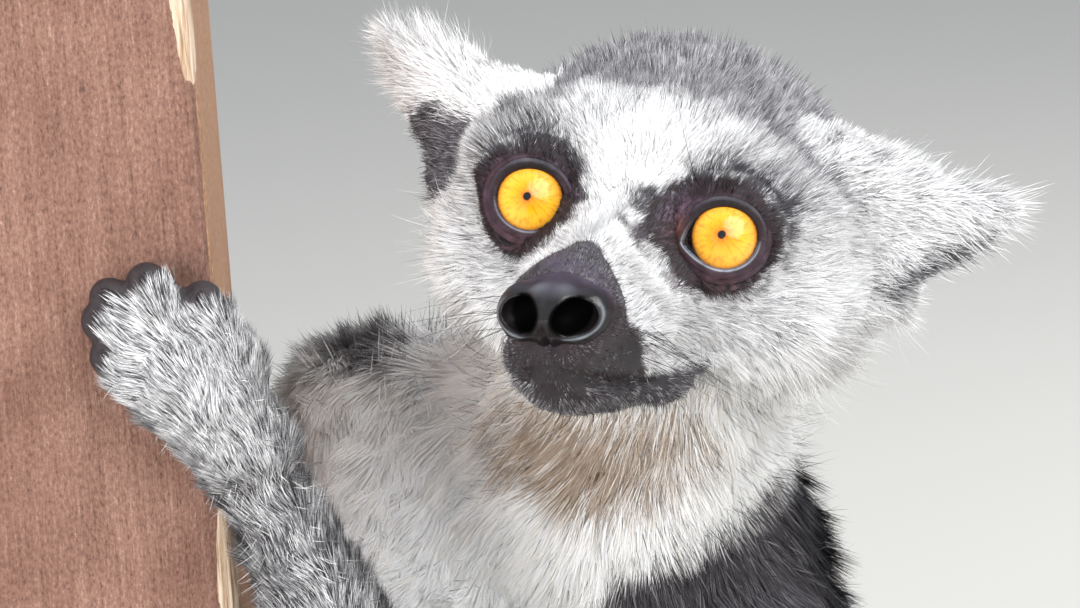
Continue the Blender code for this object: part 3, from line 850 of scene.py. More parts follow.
def build_skin(material):
    """The animal's skin: the solids joined, pared by the coat's depth and sculpted."""
    mesh = remeshed(flesh_bmesh(), SKIN_VOXEL, 0)
    tree, numbers = sample_solids()
    points, edges = read_points(mesh), read_edges(mesh)
    labels = numbers[nearest(tree, points)]
    coarse = 1 - in_regions(labels, "head", "ear", "hand", "foot")
    strength = spread(coarse[:, None], edges, 8)
    for _ in range(30):
        points = relaxed(points, edges, 1, 0.6, strength)
    points = spread(points, edges, 2, 0.4)
    write_points(mesh, points)
    refine(mesh, is_face)
    refine(mesh, is_muzzle_or_eye)
    for _ in range(2):
        refine(mesh, lambda places: is_near(places, "hand_right"))

    points, edges, triangles = read_points(mesh), read_edges(mesh), read_triangles(mesh)
    labels = numbers[nearest(tree, points)]
    near = (is_face(points) | is_near(points, *HANDS_AND_FEET))[:, None]
    points = np.where(near, spread(points, edges, 6, 0.5), points)
    head = to_head(points)
    depth = np.array([coat_row(name)[3] for name in FLESH])[labels]
    on_head = labels == NUMBER["head"]
    bare = np.maximum(step(eye_patch(head), 1.5, 1.0), step(muzzle_edge(head), -10, 0))
    depth = np.where(on_head, laid_over(depth, 0.3, bare), depth)
    cheek = step(np.abs(head[:, 0]), 22, 31) * step(head[:, 2], 6, -10)
    depth = np.where(on_head, depth + 2.8 * cheek, depth)
    depth = spread(depth[:, None], edges, 12)
    for _ in range(4):
        normals = vertex_normals(points, triangles)
        points = points - normals * (depth * MM / 4)
        points = relaxed(points, edges, 1, 0.35, np.where(near, 0.3, 1.0))
    points = sculpt_digits(points, edges, triangles, labels)
    points = shorten_ears(points, labels)
    points = sculpt_face(points, vertex_normals(points, triangles), labels)
    points = narrow_bridge(points, labels)
    points = sculpt_orbits(points)
    points = relaxed(points, edges, 3, 0.5, near)
    points = sculpt_orbits(points)
    points = np.where((labels == NUMBER["head"])[:, None], reach_forward(points), points)
    normals = vertex_normals(points, triangles)
    write_points(mesh, points)
    set_tint(mesh, skin_colours(points, normals, labels))
    add_piece("skin", mesh, material, "white_coat", *FLESH)
    return {"points": points, "normals": normals, "edges": edges, "triangles": triangles, "labels": labels}


# ------------------------------------------------------------------ coat

HAIR_SOURCE = (0, -58, -6.0)         # the hair of the head lies away from here, ahead of the nose


def comb(skin):
    """The lie of the hair at each vertex of the skin, as a unit vector along the surface."""
    points, labels = skin["points"], skin["labels"]
    lie = np.zeros_like(points)
    for name in FLESH:
        here = labels == NUMBER[name]
        if name == "head":
            head = to_head(points[here])
            away = head - HAIR_SOURCE
            away[:, 2] -= 10 * step(head[:, 2], -8, -24)
            lie[here] = unit(away) @ HEAD_AXES.T
        elif name.startswith("ear"):
            side = 1 if name == "ear_left" else -1
            head = to_head(points[here])
            rise = (head[:, 2] + 1 - 0.27 * (np.abs(head[:, 0]) - 27)) / 12
            way = np.stack([side * 0.9 + 0 * rise, 0.3 + 0 * rise, 0.16 + np.clip(rise, -0.3, 1)], 1)
            lie[here] = unit(way) @ HEAD_AXES.T
        elif name.startswith("tail"):
            lie[here] = TAIL_HEADING[nearest(TAIL_TREE, points[here])]
        else:
            start, end = flow_ends(name)
            lie[here] = np.array((end - start).normalized())
            if name.startswith(("hand", "foot")):
                height, share, heading = nearest_digit(points[here], name)
                mix = (step(share, 0.0, 0.3) * step(height, 6, 2))[:, None]
                lie[here] = unit(laid_over(lie[here], heading, mix))
    return flattened(spread(lie, skin["edges"], 14), skin["normals"])


def coat_numbers(skin):
    """Length, width and lift of the hair, and how densely it grows, at each vertex."""
    points, labels = skin["points"], skin["labels"]
    table = np.array([coat_row(name) for name in FLESH])[labels]
    length, width, lift = table.T[:3]
    thick = np.ones(len(points))
    head = to_head(points)
    x, y, z = head.T
    side = np.abs(x)
    on_head = labels == NUMBER["head"]
    face = step(y, 2, -14)
    cheek = step(side, 20, 31) * step(z, -2, -16)
    throat = step(z, -22, -30)
    face_length = 6.0 - 2.2 * face + 2.6 * cheek + 2.5 * throat * step(y, -30, 5)
    rim = eye_patch(head)
    face_length *= 1 - 0.62 * step(rim, 1.7, 1.05)
    edge = muzzle_edge(head)
    face_length *= 1 - 0.5 * step(edge, -7, -1)
    length = np.where(on_head, face_length, length)
    lift = np.where(on_head, 14 + 4 * step(y, -10, 15), lift)
    width = np.where(on_head, 0.15 + 0.010 * face_length, width)
    # ears: short hair in the hollow and at the root, long on the upper edge and at the end
    on_ear = in_regions(labels, "ear") > 0
    rise = z + 1 - 0.27 * (side - 27)
    ear_length = 4.5 + 4.0 * step(side, 42, 60) + 9.0 * step(rise, 1, 7) * step(side, 32, 44)
    ear_length *= 1 - 0.35 * step(rise, -3, -9)
    ear_length *= 1 - 0.4 * step(x, 0, -20)
    length = np.where(on_ear, ear_length, length)
    bare = np.maximum(step(rim, 1.02, 0.86) * 0.55, step(edge, -0.8, 0.6) * 0.3)
    thick = np.where(on_head, 1 - bare, thick)
    short = np.maximum(step(rim, 1.1, 0.95), step(edge, -1.5, 0.5))
    fuzz = 2.0 - 0.9 * step(edge, -1, 2) * step(z, -20, -16)
    length = np.where(on_head, laid_over(length, fuzz, short), length)
    rows = np.stack([length, width, lift, thick], 1)
    smooth = spread(rows, skin["edges"], 10)
    smooth[on_head] = rows[on_head]
    return smooth


def bare_pads(skin):
    """1 on the leather of the palms, soles and fingertips, where no hair grows."""
    points, labels, normals = skin["points"], skin["labels"], skin["normals"]
    bare = np.zeros(len(points))
    for name, facing in (("hand_right", (0, 1, 0)), ("hand_left", (0, 1, 0)), ("foot_left", (0, 0, -1)),
                         ("foot_right", (0, 0, -1))):
        here = labels == NUMBER[name]
        bare[here] = step(normals[here] @ np.array(facing, float), 0.45, 0.7)
    return np.maximum(bare, digit_bareness(points, labels))


def pick_roots(skin, weights, count, seed):
    """Random places on the skin: triangle corners, their shares, and nothing where weights are 0."""
    rng = np.random.default_rng(seed)
    points, triangles = skin["points"], skin["triangles"]
    a, b, c = (points[triangles[:, i]] for i in range(3))
    area = np.linalg.norm(np.cross(b - a, c - a), axis=1) * weights[triangles].mean(axis=1)
    chosen = np.sort(rng.random(count)) * area.sum()
    picks = triangles[np.minimum(np.searchsorted(np.cumsum(area), chosen), len(area) - 1)]
    u, v = fold(*rng.random((2, count)))
    return picks, np.stack([1 - u - v, u, v], 1)


def blend_at(values, picks, shares):
    return np.einsum("ijk,ij->ik", values[picks], shares)


UNWRAP_ROWS = 6


def unwrap(points, labels):
    """Each region rolled out like a label from a tin, side by side on one sheet."""
    place = np.zeros((len(points), 2))
    for name in FLESH:
        here = labels == NUMBER[name]
        if not here.any():
            continue
        low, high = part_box(name)
        centre = np.array((low + high) / 2)
        if name == "head":
            axis = HEAD_AXES[:, 1]
        elif name.startswith("ear"):
            axis = HEAD_AXES[:, 0]
        elif name.startswith("tail"):
            axis = TAIL_HEADING[nearest(TAIL_TREE, [centre])[0]]
        else:
            start, end = flow_ends(name)
            axis = np.array((end - start).normalized())
        across = unit(np.cross(axis, [0.3, 0.2, 0.9]))
        third = np.cross(axis, across)
        local = points[here] - centre
        turn = np.arctan2(local @ third, local @ across) / (2 * pi) + 0.5
        reach = np.linalg.norm(np.array(high - low)) / 2
        height = np.clip(local @ axis / (2 * reach) + 0.5, 0, 1)
        column, row = divmod(NUMBER[name], UNWRAP_ROWS)
        place[here, 0] = (column + 0.03 + 0.92 * turn) / UNWRAP_ROWS
        place[here, 1] = (row + 0.03 + 0.92 * height) / UNWRAP_ROWS
    return place


PATCH = 0.003            # width of one tuft on the unwrap
BLADE_TAPER = (1.0, 0.9, 0.7, 0.5)      # width at the root and each joint, as a share of the root's
OUTLIER_LIFT = 60        # degrees by which a stray hair stands up more than its neighbours
LOCK_REACH = 4 * MM      # hairs gather only into locks this near


def gather_locks(line, root, rng, per_lock, clump):
    """Draws the blades' tips into locks; gives the blade that leads each one's lock."""
    count, sections = len(root), len(line) - 1
    leaders = rng.choice(count, max(1, count // per_lock), replace=False)
    lock = leaders[nearest(tree_of(root[leaders]), root)]
    near = np.linalg.norm(root[lock] - root, axis=1, keepdims=True) < LOCK_REACH
    pull = (clump * rng.uniform(0.5, 1.0, count))[:, None]
    for index in range(1, sections + 1):
        share = pull * (index / sections) ** 1.5
        line[index] = line[index] + (line[index][lock] - line[index]) * share * near
    return lock


def blade_shapes(line, flat, width):
    """Corners and triangles of blades that taper along their centre lines."""
    sections = len(line) - 1
    corners, faces = [], []
    for index in range(sections):
        half = flat * (width * BLADE_TAPER[index] / 2)[:, None]
        corners += [line[index] - half, line[index] + half]
    corners.append(line[-1])
    per = len(corners)
    for low in range(0, per - 3, 2):
        faces += [(low, low + 1, low + 3), (low, low + 3, low + 2)]
    faces.append((per - 3, per - 2, per - 1))
    triangles = np.arange(len(width))[:, None, None] * per + np.array(faces)
    return np.stack(corners, 1).reshape(-1, 3), triangles.reshape(-1, 3)


def blade_mesh(name, points, triangles, normals):
    """A mesh of loose blades, shaded by the given normals."""
    mesh = bpy.data.meshes.new(name)
    mesh.vertices.add(len(points))
    mesh.vertices.foreach_set("co", points.astype(np.float32).ravel())
    mesh.loops.add(triangles.size)
    mesh.loops.foreach_set("vertex_index", triangles.astype(np.int32).ravel())
    mesh.polygons.add(len(triangles))
    mesh.polygons.foreach_set("loop_start", np.arange(0, triangles.size, 3, dtype=np.int32))
    mesh.update(calc_edges=True)
    mesh.shade_smooth()
    mesh.normals_split_custom_set_from_vertices(normals)
    return mesh


def hair_tints(root, normal, labels, lock, rng, seed, alike, single):
    """Each blade's colour: mostly one hair colour, picked by its share at the root."""
    count = len(root)
    share = markings(root, normal, labels)
    table = np.stack([share[hair] for hair in HAIR], 1)
    table /= np.maximum(table.sum(1, keepdims=True), 1e-6)
    hairs = np.stack([PALETTE[hair] for hair in HAIR])
    draw = rng.random(count)
    draw = np.where(rng.random(count) < alike, draw[lock], draw)
    draw = np.clip(draw + 0.12 * cloud(root, 2.2 * MM, seed), 0.001, 0.999)
    pick = np.minimum((draw[:, None] > np.cumsum(table, 1)).sum(1), len(HAIR) - 1)
    shade = np.clip(rng.normal(1.0, 0.07, count), 0.8, 1.2)[:, None]
    return np.clip(laid_over(table @ hairs, hairs[pick], single) * shade, 0, 0.93)


def grow(name, skin, weights, count, joints, seed, material, slot, long=1.0, thin=1.0, rise=1.0,
         per_lock=9, clump=0.55, stray=0.1, soft=0.6, alike=0.2, single=0.7, tip_shift=0.0):
    """Grows count blades where weights allow, each with so many joints between root and tip.

    long, thin and rise scale length, width and lift.  per_lock blades share a lock and clump draws
    their tips together; stray is how far they part.  soft is how much a blade is shaded like the skin
    under it, alike the share of blades coloured as their lock, single how pure a blade's colour is,
    and tip_shift how much lighter its tip.
    """
    count = int(count * COAT_SHARE)
    rng = np.random.default_rng(seed)
    picks, shares = pick_roots(skin, weights * skin["thick"], count, seed + 1)
    root = blend_at(skin["points"], picks, shares)
    normal = unit(blend_at(skin["normals"], picks, shares))
    lie = flattened(blend_at(skin["comb"], picks, shares), normal)
    numbers = blend_at(skin["numbers"], picks, shares)
    labels = skin["labels"][picks[:, 0]]

    # each blade leans a little to one side; neighbours lean alike
    across = np.cross(normal, lie)
    sway = 0.34 * cloud(root, 7 * MM, seed + 2) + rng.normal(0, stray + 0.05, count)
    lie = unit(lie + across * sway[:, None])
    across = np.cross(normal, lie)
    length = numbers[:, 0] * long * rng.uniform(0.7, 1.15, count) * MM
    width = numbers[:, 1] * thin * rng.uniform(0.8, 1.25, count) * MM / np.sqrt(COAT_SHARE)
    lift = np.radians(numbers[:, 2] * rise * rng.uniform(0.6, 1.5, count)
                      + 7 * cloud(root, 5 * MM, seed + 3)
                      + OUTLIER_LIFT * (rng.random(count) < stray * 0.25))

    # the centre line: it rises from the skin and bends down towards the tip
    sections = joints + 1
    line = [root - normal * (0.25 * MM)]
    for index in range(sections):
        slope = (lift * (1.35 - 0.8 * index / sections))[:, None]
        line.append(line[-1] + (lie * np.cos(slope) + normal * np.sin(slope)) * (length / sections)[:, None])
    lock = gather_locks(line, root, rng, per_lock, clump)

    # each blade is rolled a little about its own length, with its face outward
    roll = rng.normal(0, 0.32, count)[:, None]
    flat = unit(across * np.cos(roll) + normal * np.sin(roll))
    facing = unit(np.cross(flat, line[-1] - line[0]))
    turned = np.sign(np.sum(facing * normal, 1, keepdims=True))
    flat = flat * turned
    facing = unit(laid_over(facing * turned, normal, soft))
    points, triangles = blade_shapes(line, flat, width)
    per = 2 * sections + 1
    mesh = blade_mesh(name, points, triangles, np.repeat(facing, per, axis=0))

    # a little darker at the root, lighter at the tip
    base = hair_tints(root, normal, labels, lock, rng, seed + 4, alike, single)
    colours = []
    for index in range(sections):
        colours += [base * (0.86 + 0.14 * index / sections)] * 2
    colours.append(np.clip(base * (1.06 + tip_shift), 0, 0.95))
    set_tint(mesh, np.stack(colours, 1).reshape(-1, 3))

    sheet = mesh.uv_layers.new(name="OFBake")
    corner_place = np.array([(i % 2, i // 2 / sections) for i in range(per - 1)] + [(0.5, 1.0)])
    uv = unwrap(root, labels)[:, None, :] + corner_place[None] * PATCH
    sheet.data.foreach_set("uv", uv.reshape(-1, 2)[triangles.ravel()].astype(np.float32).ravel())
    add_piece(name, mesh, material, slot)


def grow_coat(skin, material):
    """Every piece of the coat, each on its own regions of the skin."""
    points, labels = skin["points"], skin["labels"]
    head = to_head(points)
    on = partial(in_regions, labels)
    front = step(head[:, 1], 16, 10)
    low = step(head[:, 2], -6, -10)
    grow("coat_face", skin, on("head") * front * (1 - low), 150000, 0, 100, material, "white_coat",
         per_lock=6, clump=0.3)
    grow("coat_cheeks", skin, on("head") * low, 166000, 0, 200, material, "white_coat", clump=0.35, soft=0.7)
    grow("coat_crown", skin, on("head") * (1 - front) * (1 - low), 150000, 0, 300, material, "grey_coat",
         clump=0.4, tip_shift=0.15, alike=0.4)
    grow("coat_ears", skin, on("ear"), 60000, 1, 400, material, "white_coat", clump=0.45, stray=0.22,
         thin=0.8)
    grow("coat_neck", skin, on("neck"), 150000, 0, 500, material, "white_coat", clump=0.4, soft=0.8)
    grow("coat_chest", skin, on("chest", "upper_arm"), 184000, 0, 600, material, "white_coat", clump=0.4,
         soft=0.8)
    grow("coat_right_arm", skin, on("forearm_right", "hand_right"), 166000, 0, 700, material, "grey_coat",
         clump=0.1, alike=0.1, single=0.95, stray=0.05)
    grow("coat_trunk", skin, on("abdomen", "rump"), 28000, 1, 800, material, "grey_coat")
    grow("coat_legs", skin, on("thigh", "shin", "foot", "forearm_left", "hand_left"), 42000, 1, 900,
         material, "grey_coat")
    grow("coat_tail", skin, on("tail"), 36000, 1, 1000, material, "ringed_coat", clump=0.4)
    # long fine hairs that stand out from the ears and the cheeks
    side, up = np.abs(head[:, 0]), head[:, 2]
    tufts = on("ear") * (0.2 + step(up - 0.27 * (side - 27), 2, 9)) * step(side, 36, 50)
    ruff = on("head") * step(side, 22, 30) * step(up, -8, -20) * 0.05
    grow("coat_wisps", skin, tufts + ruff, 4950, 3, 1100, material, "white_coat", long=1.7, clump=0.35,
         stray=0.4, thin=0.5, rise=1.3)


# ------------------------------------------------------------------ eyes, lids and nose

def gaze(side):
    """The way an eye looks: at the viewer."""
    return (camera_place() - EYE_CENTRES[side]).normalized()


def camera_place():
    """Where the camera stands, and so where the eyes look."""
    rise = radians(CAMERA_RISE)
    return AIM + Vector((0, -cos(rise), sin(rise))) * CAMERA_DISTANCE


def axis_turn(axis, up_hint):
    """A turn whose third axis is the given one."""
    third = axis.normalized()
    first = up_hint.cross(third).normalized()
    return Matrix((first, third.cross(first), third)).transposed()


def eye_turn(side):
    """The turn of an eye: its third axis is the way that it looks."""
    return axis_turn(gaze(side), HEAD_TURN @ Vector((0, 0, 1)))


def build_eye(side, material):
    """An eyeball with a clear bulge in front; its map holds the angle and distance from the axis."""
    bm = bmesh.new()
    bmesh.ops.create_uvsphere(bm, u_segments=96, v_segments=72, radius=1.0)
    turn = eye_turn(side)
    sheet = bm.loops.layers.uv.new("iris")
    for face in bm.faces:
        for loop in face.loops:
            local = loop.vert.co
            out = np.hypot(local.x, local.y)
            shift = max(0.0, 1 - out / 0.7)
            x, y = local.x + 0.075 * shift, local.y - 0.05 * shift
            loop[sheet].uv = (np.arctan2(y, x) / (2 * pi) + 0.5, np.hypot(x, y) if local.z > 0 else 1.2)
    for vert in bm.verts:
        local = vert.co.copy()
        off_axis = np.hypot(local.x, local.y)
        bulge = 0.55 * max(0.0, 1 - (off_axis / 0.76) ** 2) if local.z > 0 else 0.0
        vert.co = EYE_CENTRES[side] + turn @ local * ((EYE_RADIUS - 0.05 + bulge) * MM)
    name = f"eyeball_{side}"
    add_piece(name, mesh_of(bm, name), material, "eye_amber", f"eye_{side}")


# Lid profile outward from the margin: angle from it, and height above the eye's centre
LID_PROFILE = [(1.5, 7.6), (0.3, 7.9), (-0.3, 8.3), (0.4, 8.62), (1.8, 8.8), (4.0, 9.0), (7.0, 9.2),
               (10.0, 9.25), (12.5, 9.1), (14.5, 8.85), (16.0, 8.95), (18.5, 9.3), (22.0, 9.45),
               (26.0, 9.5), (31.0, 9.5), (36.0, 9.2)]
LID_ANGLE = 50           # angle from the axis at which the profile is spun, before it is shaped
OUTER_RING = 69          # angle from the axis where the lids end inside the skin


def build_lids(side, material):
    """The lids of one eye: thin moist margins, a crease above, drawn out towards the nose."""
    turn = eye_turn(side)
    bm = bmesh.new()
    start = []
    for angle, height in LID_PROFILE:
        theta = radians(LID_ANGLE + angle)
        start.append(bm.verts.new((sin(theta) * height, 0, cos(theta) * height)))
    profile = start + [bm.edges.new(pair) for pair in zip(start, start[1:])]
    bmesh.ops.spin(bm, geom=profile, cent=(0, 0, 0), axis=(0, 0, 1), steps=160, angle=2 * pi,
                   use_merge=True)
    bmesh.ops.remove_doubles(bm, verts=bm.verts, dist=0.0001)
    rng = np.random.default_rng(21)
    folds = rng.uniform(0, 2 * pi, 3)
    last = LID_PROFILE[-1][0]
    shares = []
    for vert in bm.verts:
        local = vert.co
        height = local.length
        angle = np.degrees(np.arctan2(np.hypot(local.x, local.y), local.z)) - LID_ANGLE
        phi = np.arctan2(local.y, local.x)
        around = np.arctan2(local.y, local.x * INWARD[side])
        inner = np.exp(-abs((around + 0.24) / 0.34) ** 1.35)
        upper = max(0.0, sin(around))
        lower = max(0.0, -sin(around))
        margin = 41.5 - 1.6 * upper ** 2 + 2.0 * lower ** 2 + 5.0 * cos(around) ** 2 + 17.5 * inner
        share = min(max(angle / last, 0.0), 1.0)
        theta = margin + angle if angle < 0 else margin + (OUTER_RING - margin) * share
        settled = orbit_height(theta, around) - 1.4 * max(0.0, share - 0.75) / 0.25 + 0.12
        blend = float(step(share, 0.42, 0.72))
        crease = bell(angle - 14.5, 2.2)
        height += crease * (0.3 - 0.45 * upper)
        height += 0.35 * upper * bell(angle - 7, 5) - 0.2 * lower * bell(angle - 8, 6)
        wrinkle = sum(sin(angle * f + p + 2 * sin(3 * phi + p)) for f, p in zip((1.1, 1.7, 2.3), folds))
        height += 0.06 * wrinkle * float(step(angle, 1.5, 4))
        height = laid_over(height, settled, blend)
        theta = radians(theta)
        place = Vector((sin(theta) * cos(phi), sin(theta) * sin(phi), cos(theta))) * height
        # painted reflection: a pale bluish line on the wet margin, most below and at the inner corner, weaker
        # on the far eye
        wet = bell(angle - 0.5, 0.75) * (0.9 * lower ** 0.5 + 0.7 * inner)
        # a dark band by the margin, and painted shade in the crease of the upper lid
        dark = bell(max(0.0, angle - 3), 6) * (0.6 + 0.4 * upper) * (1 - 0.5 * lower)
        dark = max(dark, crease * upper)
        # painted sheen on the band of the upper lid
        sheen = 0.2 * upper * bell(angle - 9, 2.6) * (0.85 + 0.15 * sin(1.6 * angle + 5 * phi))
        wet = min(wet, 1) * (0.95 if side == "left" else 0.5)
        vert.co = EYE_CENTRES[side] + turn @ place * MM
        shares.append((dark, max(wet, sheen)))
    bmesh.ops.recalc_face_normals(bm, faces=bm.faces)
    if bm.faces[0].normal.dot(bm.faces[0].calc_center_median() - EYE_CENTRES[side]) < 0:
        bmesh.ops.reverse_faces(bm, faces=bm.faces)
    name = f"eyelids_{side}"
    mesh = mesh_of(bm, name)
    dark, wet = np.array(shares).T[:, :, None]
    # the dark margin band and the painted shade in the crease
    colours = laid_over(patch_tone(read_points(mesh)), linear("1B1517"), dark)
    # the painted pale reflection and sheen
    set_tint(mesh, laid_over(colours, PALETTE["rim"], wet))
    add_piece(name, mesh, material, "nose_leather")


NOSTRIL = (4.9, -40.6, -5.0)         # middle of the left nostril, in the head's axes
NOSTRIL_SIZE = (3.9, 4.2, 3.2)       # half its width, depth and height
NOSTRIL_TURN = 46                    # degrees that it faces outward
NOSTRIL_RIM = 11                     # beads in the thick rim round its lower and outer side


def in_nostril(head):
    """Places measured from the nearer nostril, along its width, depth and height."""
    side, back, up = np.abs(head[:, 0]) - NOSTRIL[0], head[:, 1] - NOSTRIL[1], head[:, 2] - NOSTRIL[2]
    turn = radians(NOSTRIL_TURN)
    return np.stack([side * cos(turn) + back * sin(turn), back * cos(turn) - side * sin(turn), up], 1)


def carved_pad(material):
    """The pad's shape: a rounded top, two thick wings round wide nostrils, and a column below."""
    bm = bmesh.new()
    holes = bmesh.new()
    head_ball(bm, 0, -33.0, -5.2, (7.4, 7.0, 6.5))
    head_ball(bm, 0, -36.8, -5.2, (6.4, 6.2, 5.5))
    head_ball(bm, 0, -36.0, -9.2, (4.2, 3.2, 3.2))
    for side in (-1, 1):
        head_ball(bm, side * 5.7, -35.8, -5.5, (4.5, 5.0, 4.9))
        head_ball(bm, side * 4.6, -37.0, -8.4, (3.8, 3.6, 2.6))
        turn = HEAD_TURN @ Matrix.Rotation(radians(side * NOSTRIL_TURN), 3, "Z")
        centre = Vector(from_head((side * NOSTRIL[0], NOSTRIL[1], NOSTRIL[2])))
        ball(holes, centre, NOSTRIL_SIZE, turn=turn)
        for index in range(NOSTRIL_RIM):
            around = radians(-115 + index * 14)
            rim = Vector((side * 4.2 * cos(around), 0.4, 3.6 * sin(around))) * MM
            ball(bm, centre + turn @ rim, (0.9, 0.9, 0.9), detail=2)
    solid = link_object("nose_pad", remeshed(bm, 0.4 * MM, 14), material)
    cutter = link_object("nostrils", remeshed(holes, 0.3 * MM, 1), material)
    carve = solid.modifiers.new("carve", "BOOLEAN")
    carve.object = cutter
    mesh = evaluated_mesh(solid)
    bpy.data.objects.remove(cutter, do_unlink=True)
    bpy.data.objects.remove(solid, do_unlink=True)
    bm = bmesh.new()
    bm.from_mesh(mesh)
    return remeshed(bm, 0.36 * MM, 3)


def build_nose(material):
    """The bare pad with its groove and its dents, painted black shade in the nostrils and wet in front."""
    mesh = carved_pad(material)
    points = read_points(mesh)
    normals = vertex_normals(points, read_triangles(mesh))
    head = to_head(points)
    side, up = np.abs(head[:, 0]), head[:, 2]
    groove = bell(side, 0.5) * step(up, -5.0, -8.0)
    dent = bell(side, 1.4) * bell(up + 2.0, 2.2)
    points -= normals * ((groove * 0.7 + dent * 0.5) * MM)[:, None]
    write_points(mesh, reach_forward(points))

    # nearly black, with painted black shade deep in the nostrils and a painted pale reflection on each
    # nostril's wet lower edge; dull leather where it ends, with a painted sheen where it faces up and a
    # painted glint above the nostrils
    local = in_nostril(head)
    depth = np.linalg.norm(local / NOSTRIL_SIZE, axis=1)
    # painted shade: near-black deep inside the nostrils
    inside = step(depth, 1.25, 1.1) * step(local[:, 1], -0.1, 0.9)
    bearing = np.degrees(np.arctan2(local[:, 2], local[:, 0]))
    # painted light: a pale bluish reflection on the wet lower and outer lip of each nostril
    lip = bell(depth - 1.24, 0.08) * step(local[:, 1], 1.8, 0.8) * step(bearing, -128, -100)
    lip = (lip * step(bearing, 42, 15))[:, None] * 0.5
    behind = np.maximum(step(head[:, 1], -38.5, -34.5), step(up, -2.0, 0.8))[:, None]
    # painted sheen: a lighter purple-grey where the back of the pad faces up
    facing_up = step(normals @ HEAD_AXES[:, 2], 0.1, 0.75)[:, None]
    back = laid_over(PALETTE["leather"], PALETTE["painted_sheen"], 0.6 * facing_up)
    # painted highlight: a bluish glint where the front of the pad faces up, above the nostrils
    front = step(head[:, 1], -36.5, -39.5)[:, None] * facing_up * bell(side - 3.0, 2.2)[:, None]
    back = laid_over(back, PALETTE["rim"], 0.3 * front)
    colour = laid_over(linear("120E10"), back, behind)
    # the painted pale reflection on the nostrils' lips
    colour = laid_over(colour, PALETTE["rim"], lip)
    # the painted black shade inside the nostrils
    set_tint(mesh, laid_over(colour, linear("020202"), inside[:, None]))
    moist = step(up, 1.2, -0.6) * step(head[:, 1], -36, -39) * (0.35 + 0.65 * step(up, -7, -4))
    moist = np.maximum(moist, lip[:, 0])
    wet = mesh.attributes.new("wet", "FLOAT", "POINT")
    wet.data.foreach_set("value", ((0.1 + 0.9 * moist) * (1 - inside)).astype(np.float32))
    add_piece("nose_pad", mesh, material, "nose_leather", "nose")


# ------------------------------------------------------------------ whiskers and nails

WHISKER_THICKNESS = 0.15 * MM
WHISKER_JOINTS = 7


def build_whiskers(strands, material):
    """Long stiff hairs: each a three-sided tapering rod along a bent line."""
    bm = bmesh.new()
    for root, heading, droop, length in strands:
        previous = None
        place = Vector(root)
        heading = Vector(heading).normalized()
        for index in range(WHISKER_JOINTS + 1):
            share = index / WHISKER_JOINTS
            turn = axis_turn(heading, Vector((0.3, 0.2, 0.9)))
            radius = WHISKER_THICKNESS * (1 - 0.92 * share) / 2
            ring = [bm.verts.new(place + turn @ Vector((cos(a), sin(a), 0)) * radius)
                    for a in (0, 2 * pi / 3, 4 * pi / 3)]
            if previous:
                for i in range(3):
                    bm.faces.new((previous[i], previous[(i + 1) % 3], ring[(i + 1) % 3], ring[i]))
            else:
                bm.faces.new(ring[::-1])
            previous = ring
            place = place + heading * (length / WHISKER_JOINTS)
            heading = (heading + Vector(droop) / WHISKER_JOINTS).normalized()
        bm.faces.new(previous)
    add_piece("whiskers", mesh_of(bm, "whiskers"), material, "nose_leather")


def whisker_roots(skin):
    """Roots and headings of the whiskers, brow hairs and chin bristles."""
    rng = np.random.default_rng(77)
    tree = tree_of(skin["points"])
    rows = []
    beds = [  # centre (left, back, up), scatter, heading, droop, length, number on each side
        ((12, -22, -12), (1.5, 4.5, 3.5), (0.85, 0.15, -0.35), (-0.2, 0.4, -0.5), 30, 10),
        ((15, -2, 10.5), (5, 1.5, 1.2), (0.15, -0.35, 0.9), (0.0, 0.5, 0.1), 15, 9),
        ((25, 3, -14), (2, 3, 2), (0.8, 0.0, -0.4), (0, 0.2, -0.4), 17, 4),
        ((5, -24, -27), (5, 5, 1.5), (0.15, -0.35, -0.9), (0, 0.5, -0.1), 6, 9)]
    for centre, scatter, heading, droop, length, number in beds:
        for side in (-1, 1):
            for _ in range(number):
                spot = np.array(centre) + rng.normal(size=3) * scatter * 0.6
                spot[0] = abs(spot[0]) * side
                root = skin["points"][tree.find(Vector(from_head(spot)))[1]]
                way = np.array(heading) + rng.normal(0, 0.16, 3)
                way[0] *= side
                bend = np.array(droop) * (side, 1, 1)
                rows.append((root, HEAD_AXES @ way, HEAD_AXES @ bend * 0.6,
                             length * rng.uniform(0.55, 1.1) * MM))
    return rows


def build_nails(material):
    """One narrow curved nail on the upper side of each digit."""
    bm = bmesh.new()
    for _, places, facing in DIGITS:
        heading = unit(places[2] - places[1])
        top = unit(facing - heading * (facing @ heading))
        turn = Matrix((np.cross(heading, top), heading, top)).transposed()
        centre = places[2] + (top * 3.5 - heading * 0.6) * MM
        ball(bm, Vector(centre), (1.25, 2.6, 0.8), turn=turn, detail=3)
    add_piece("nails", mesh_of(bm, "nails"), material, "nose_leather")


# ------------------------------------------------------------------ materials

MULTIPLIED = {"data_type": "RGBA", "blend_type": "MULTIPLY"}


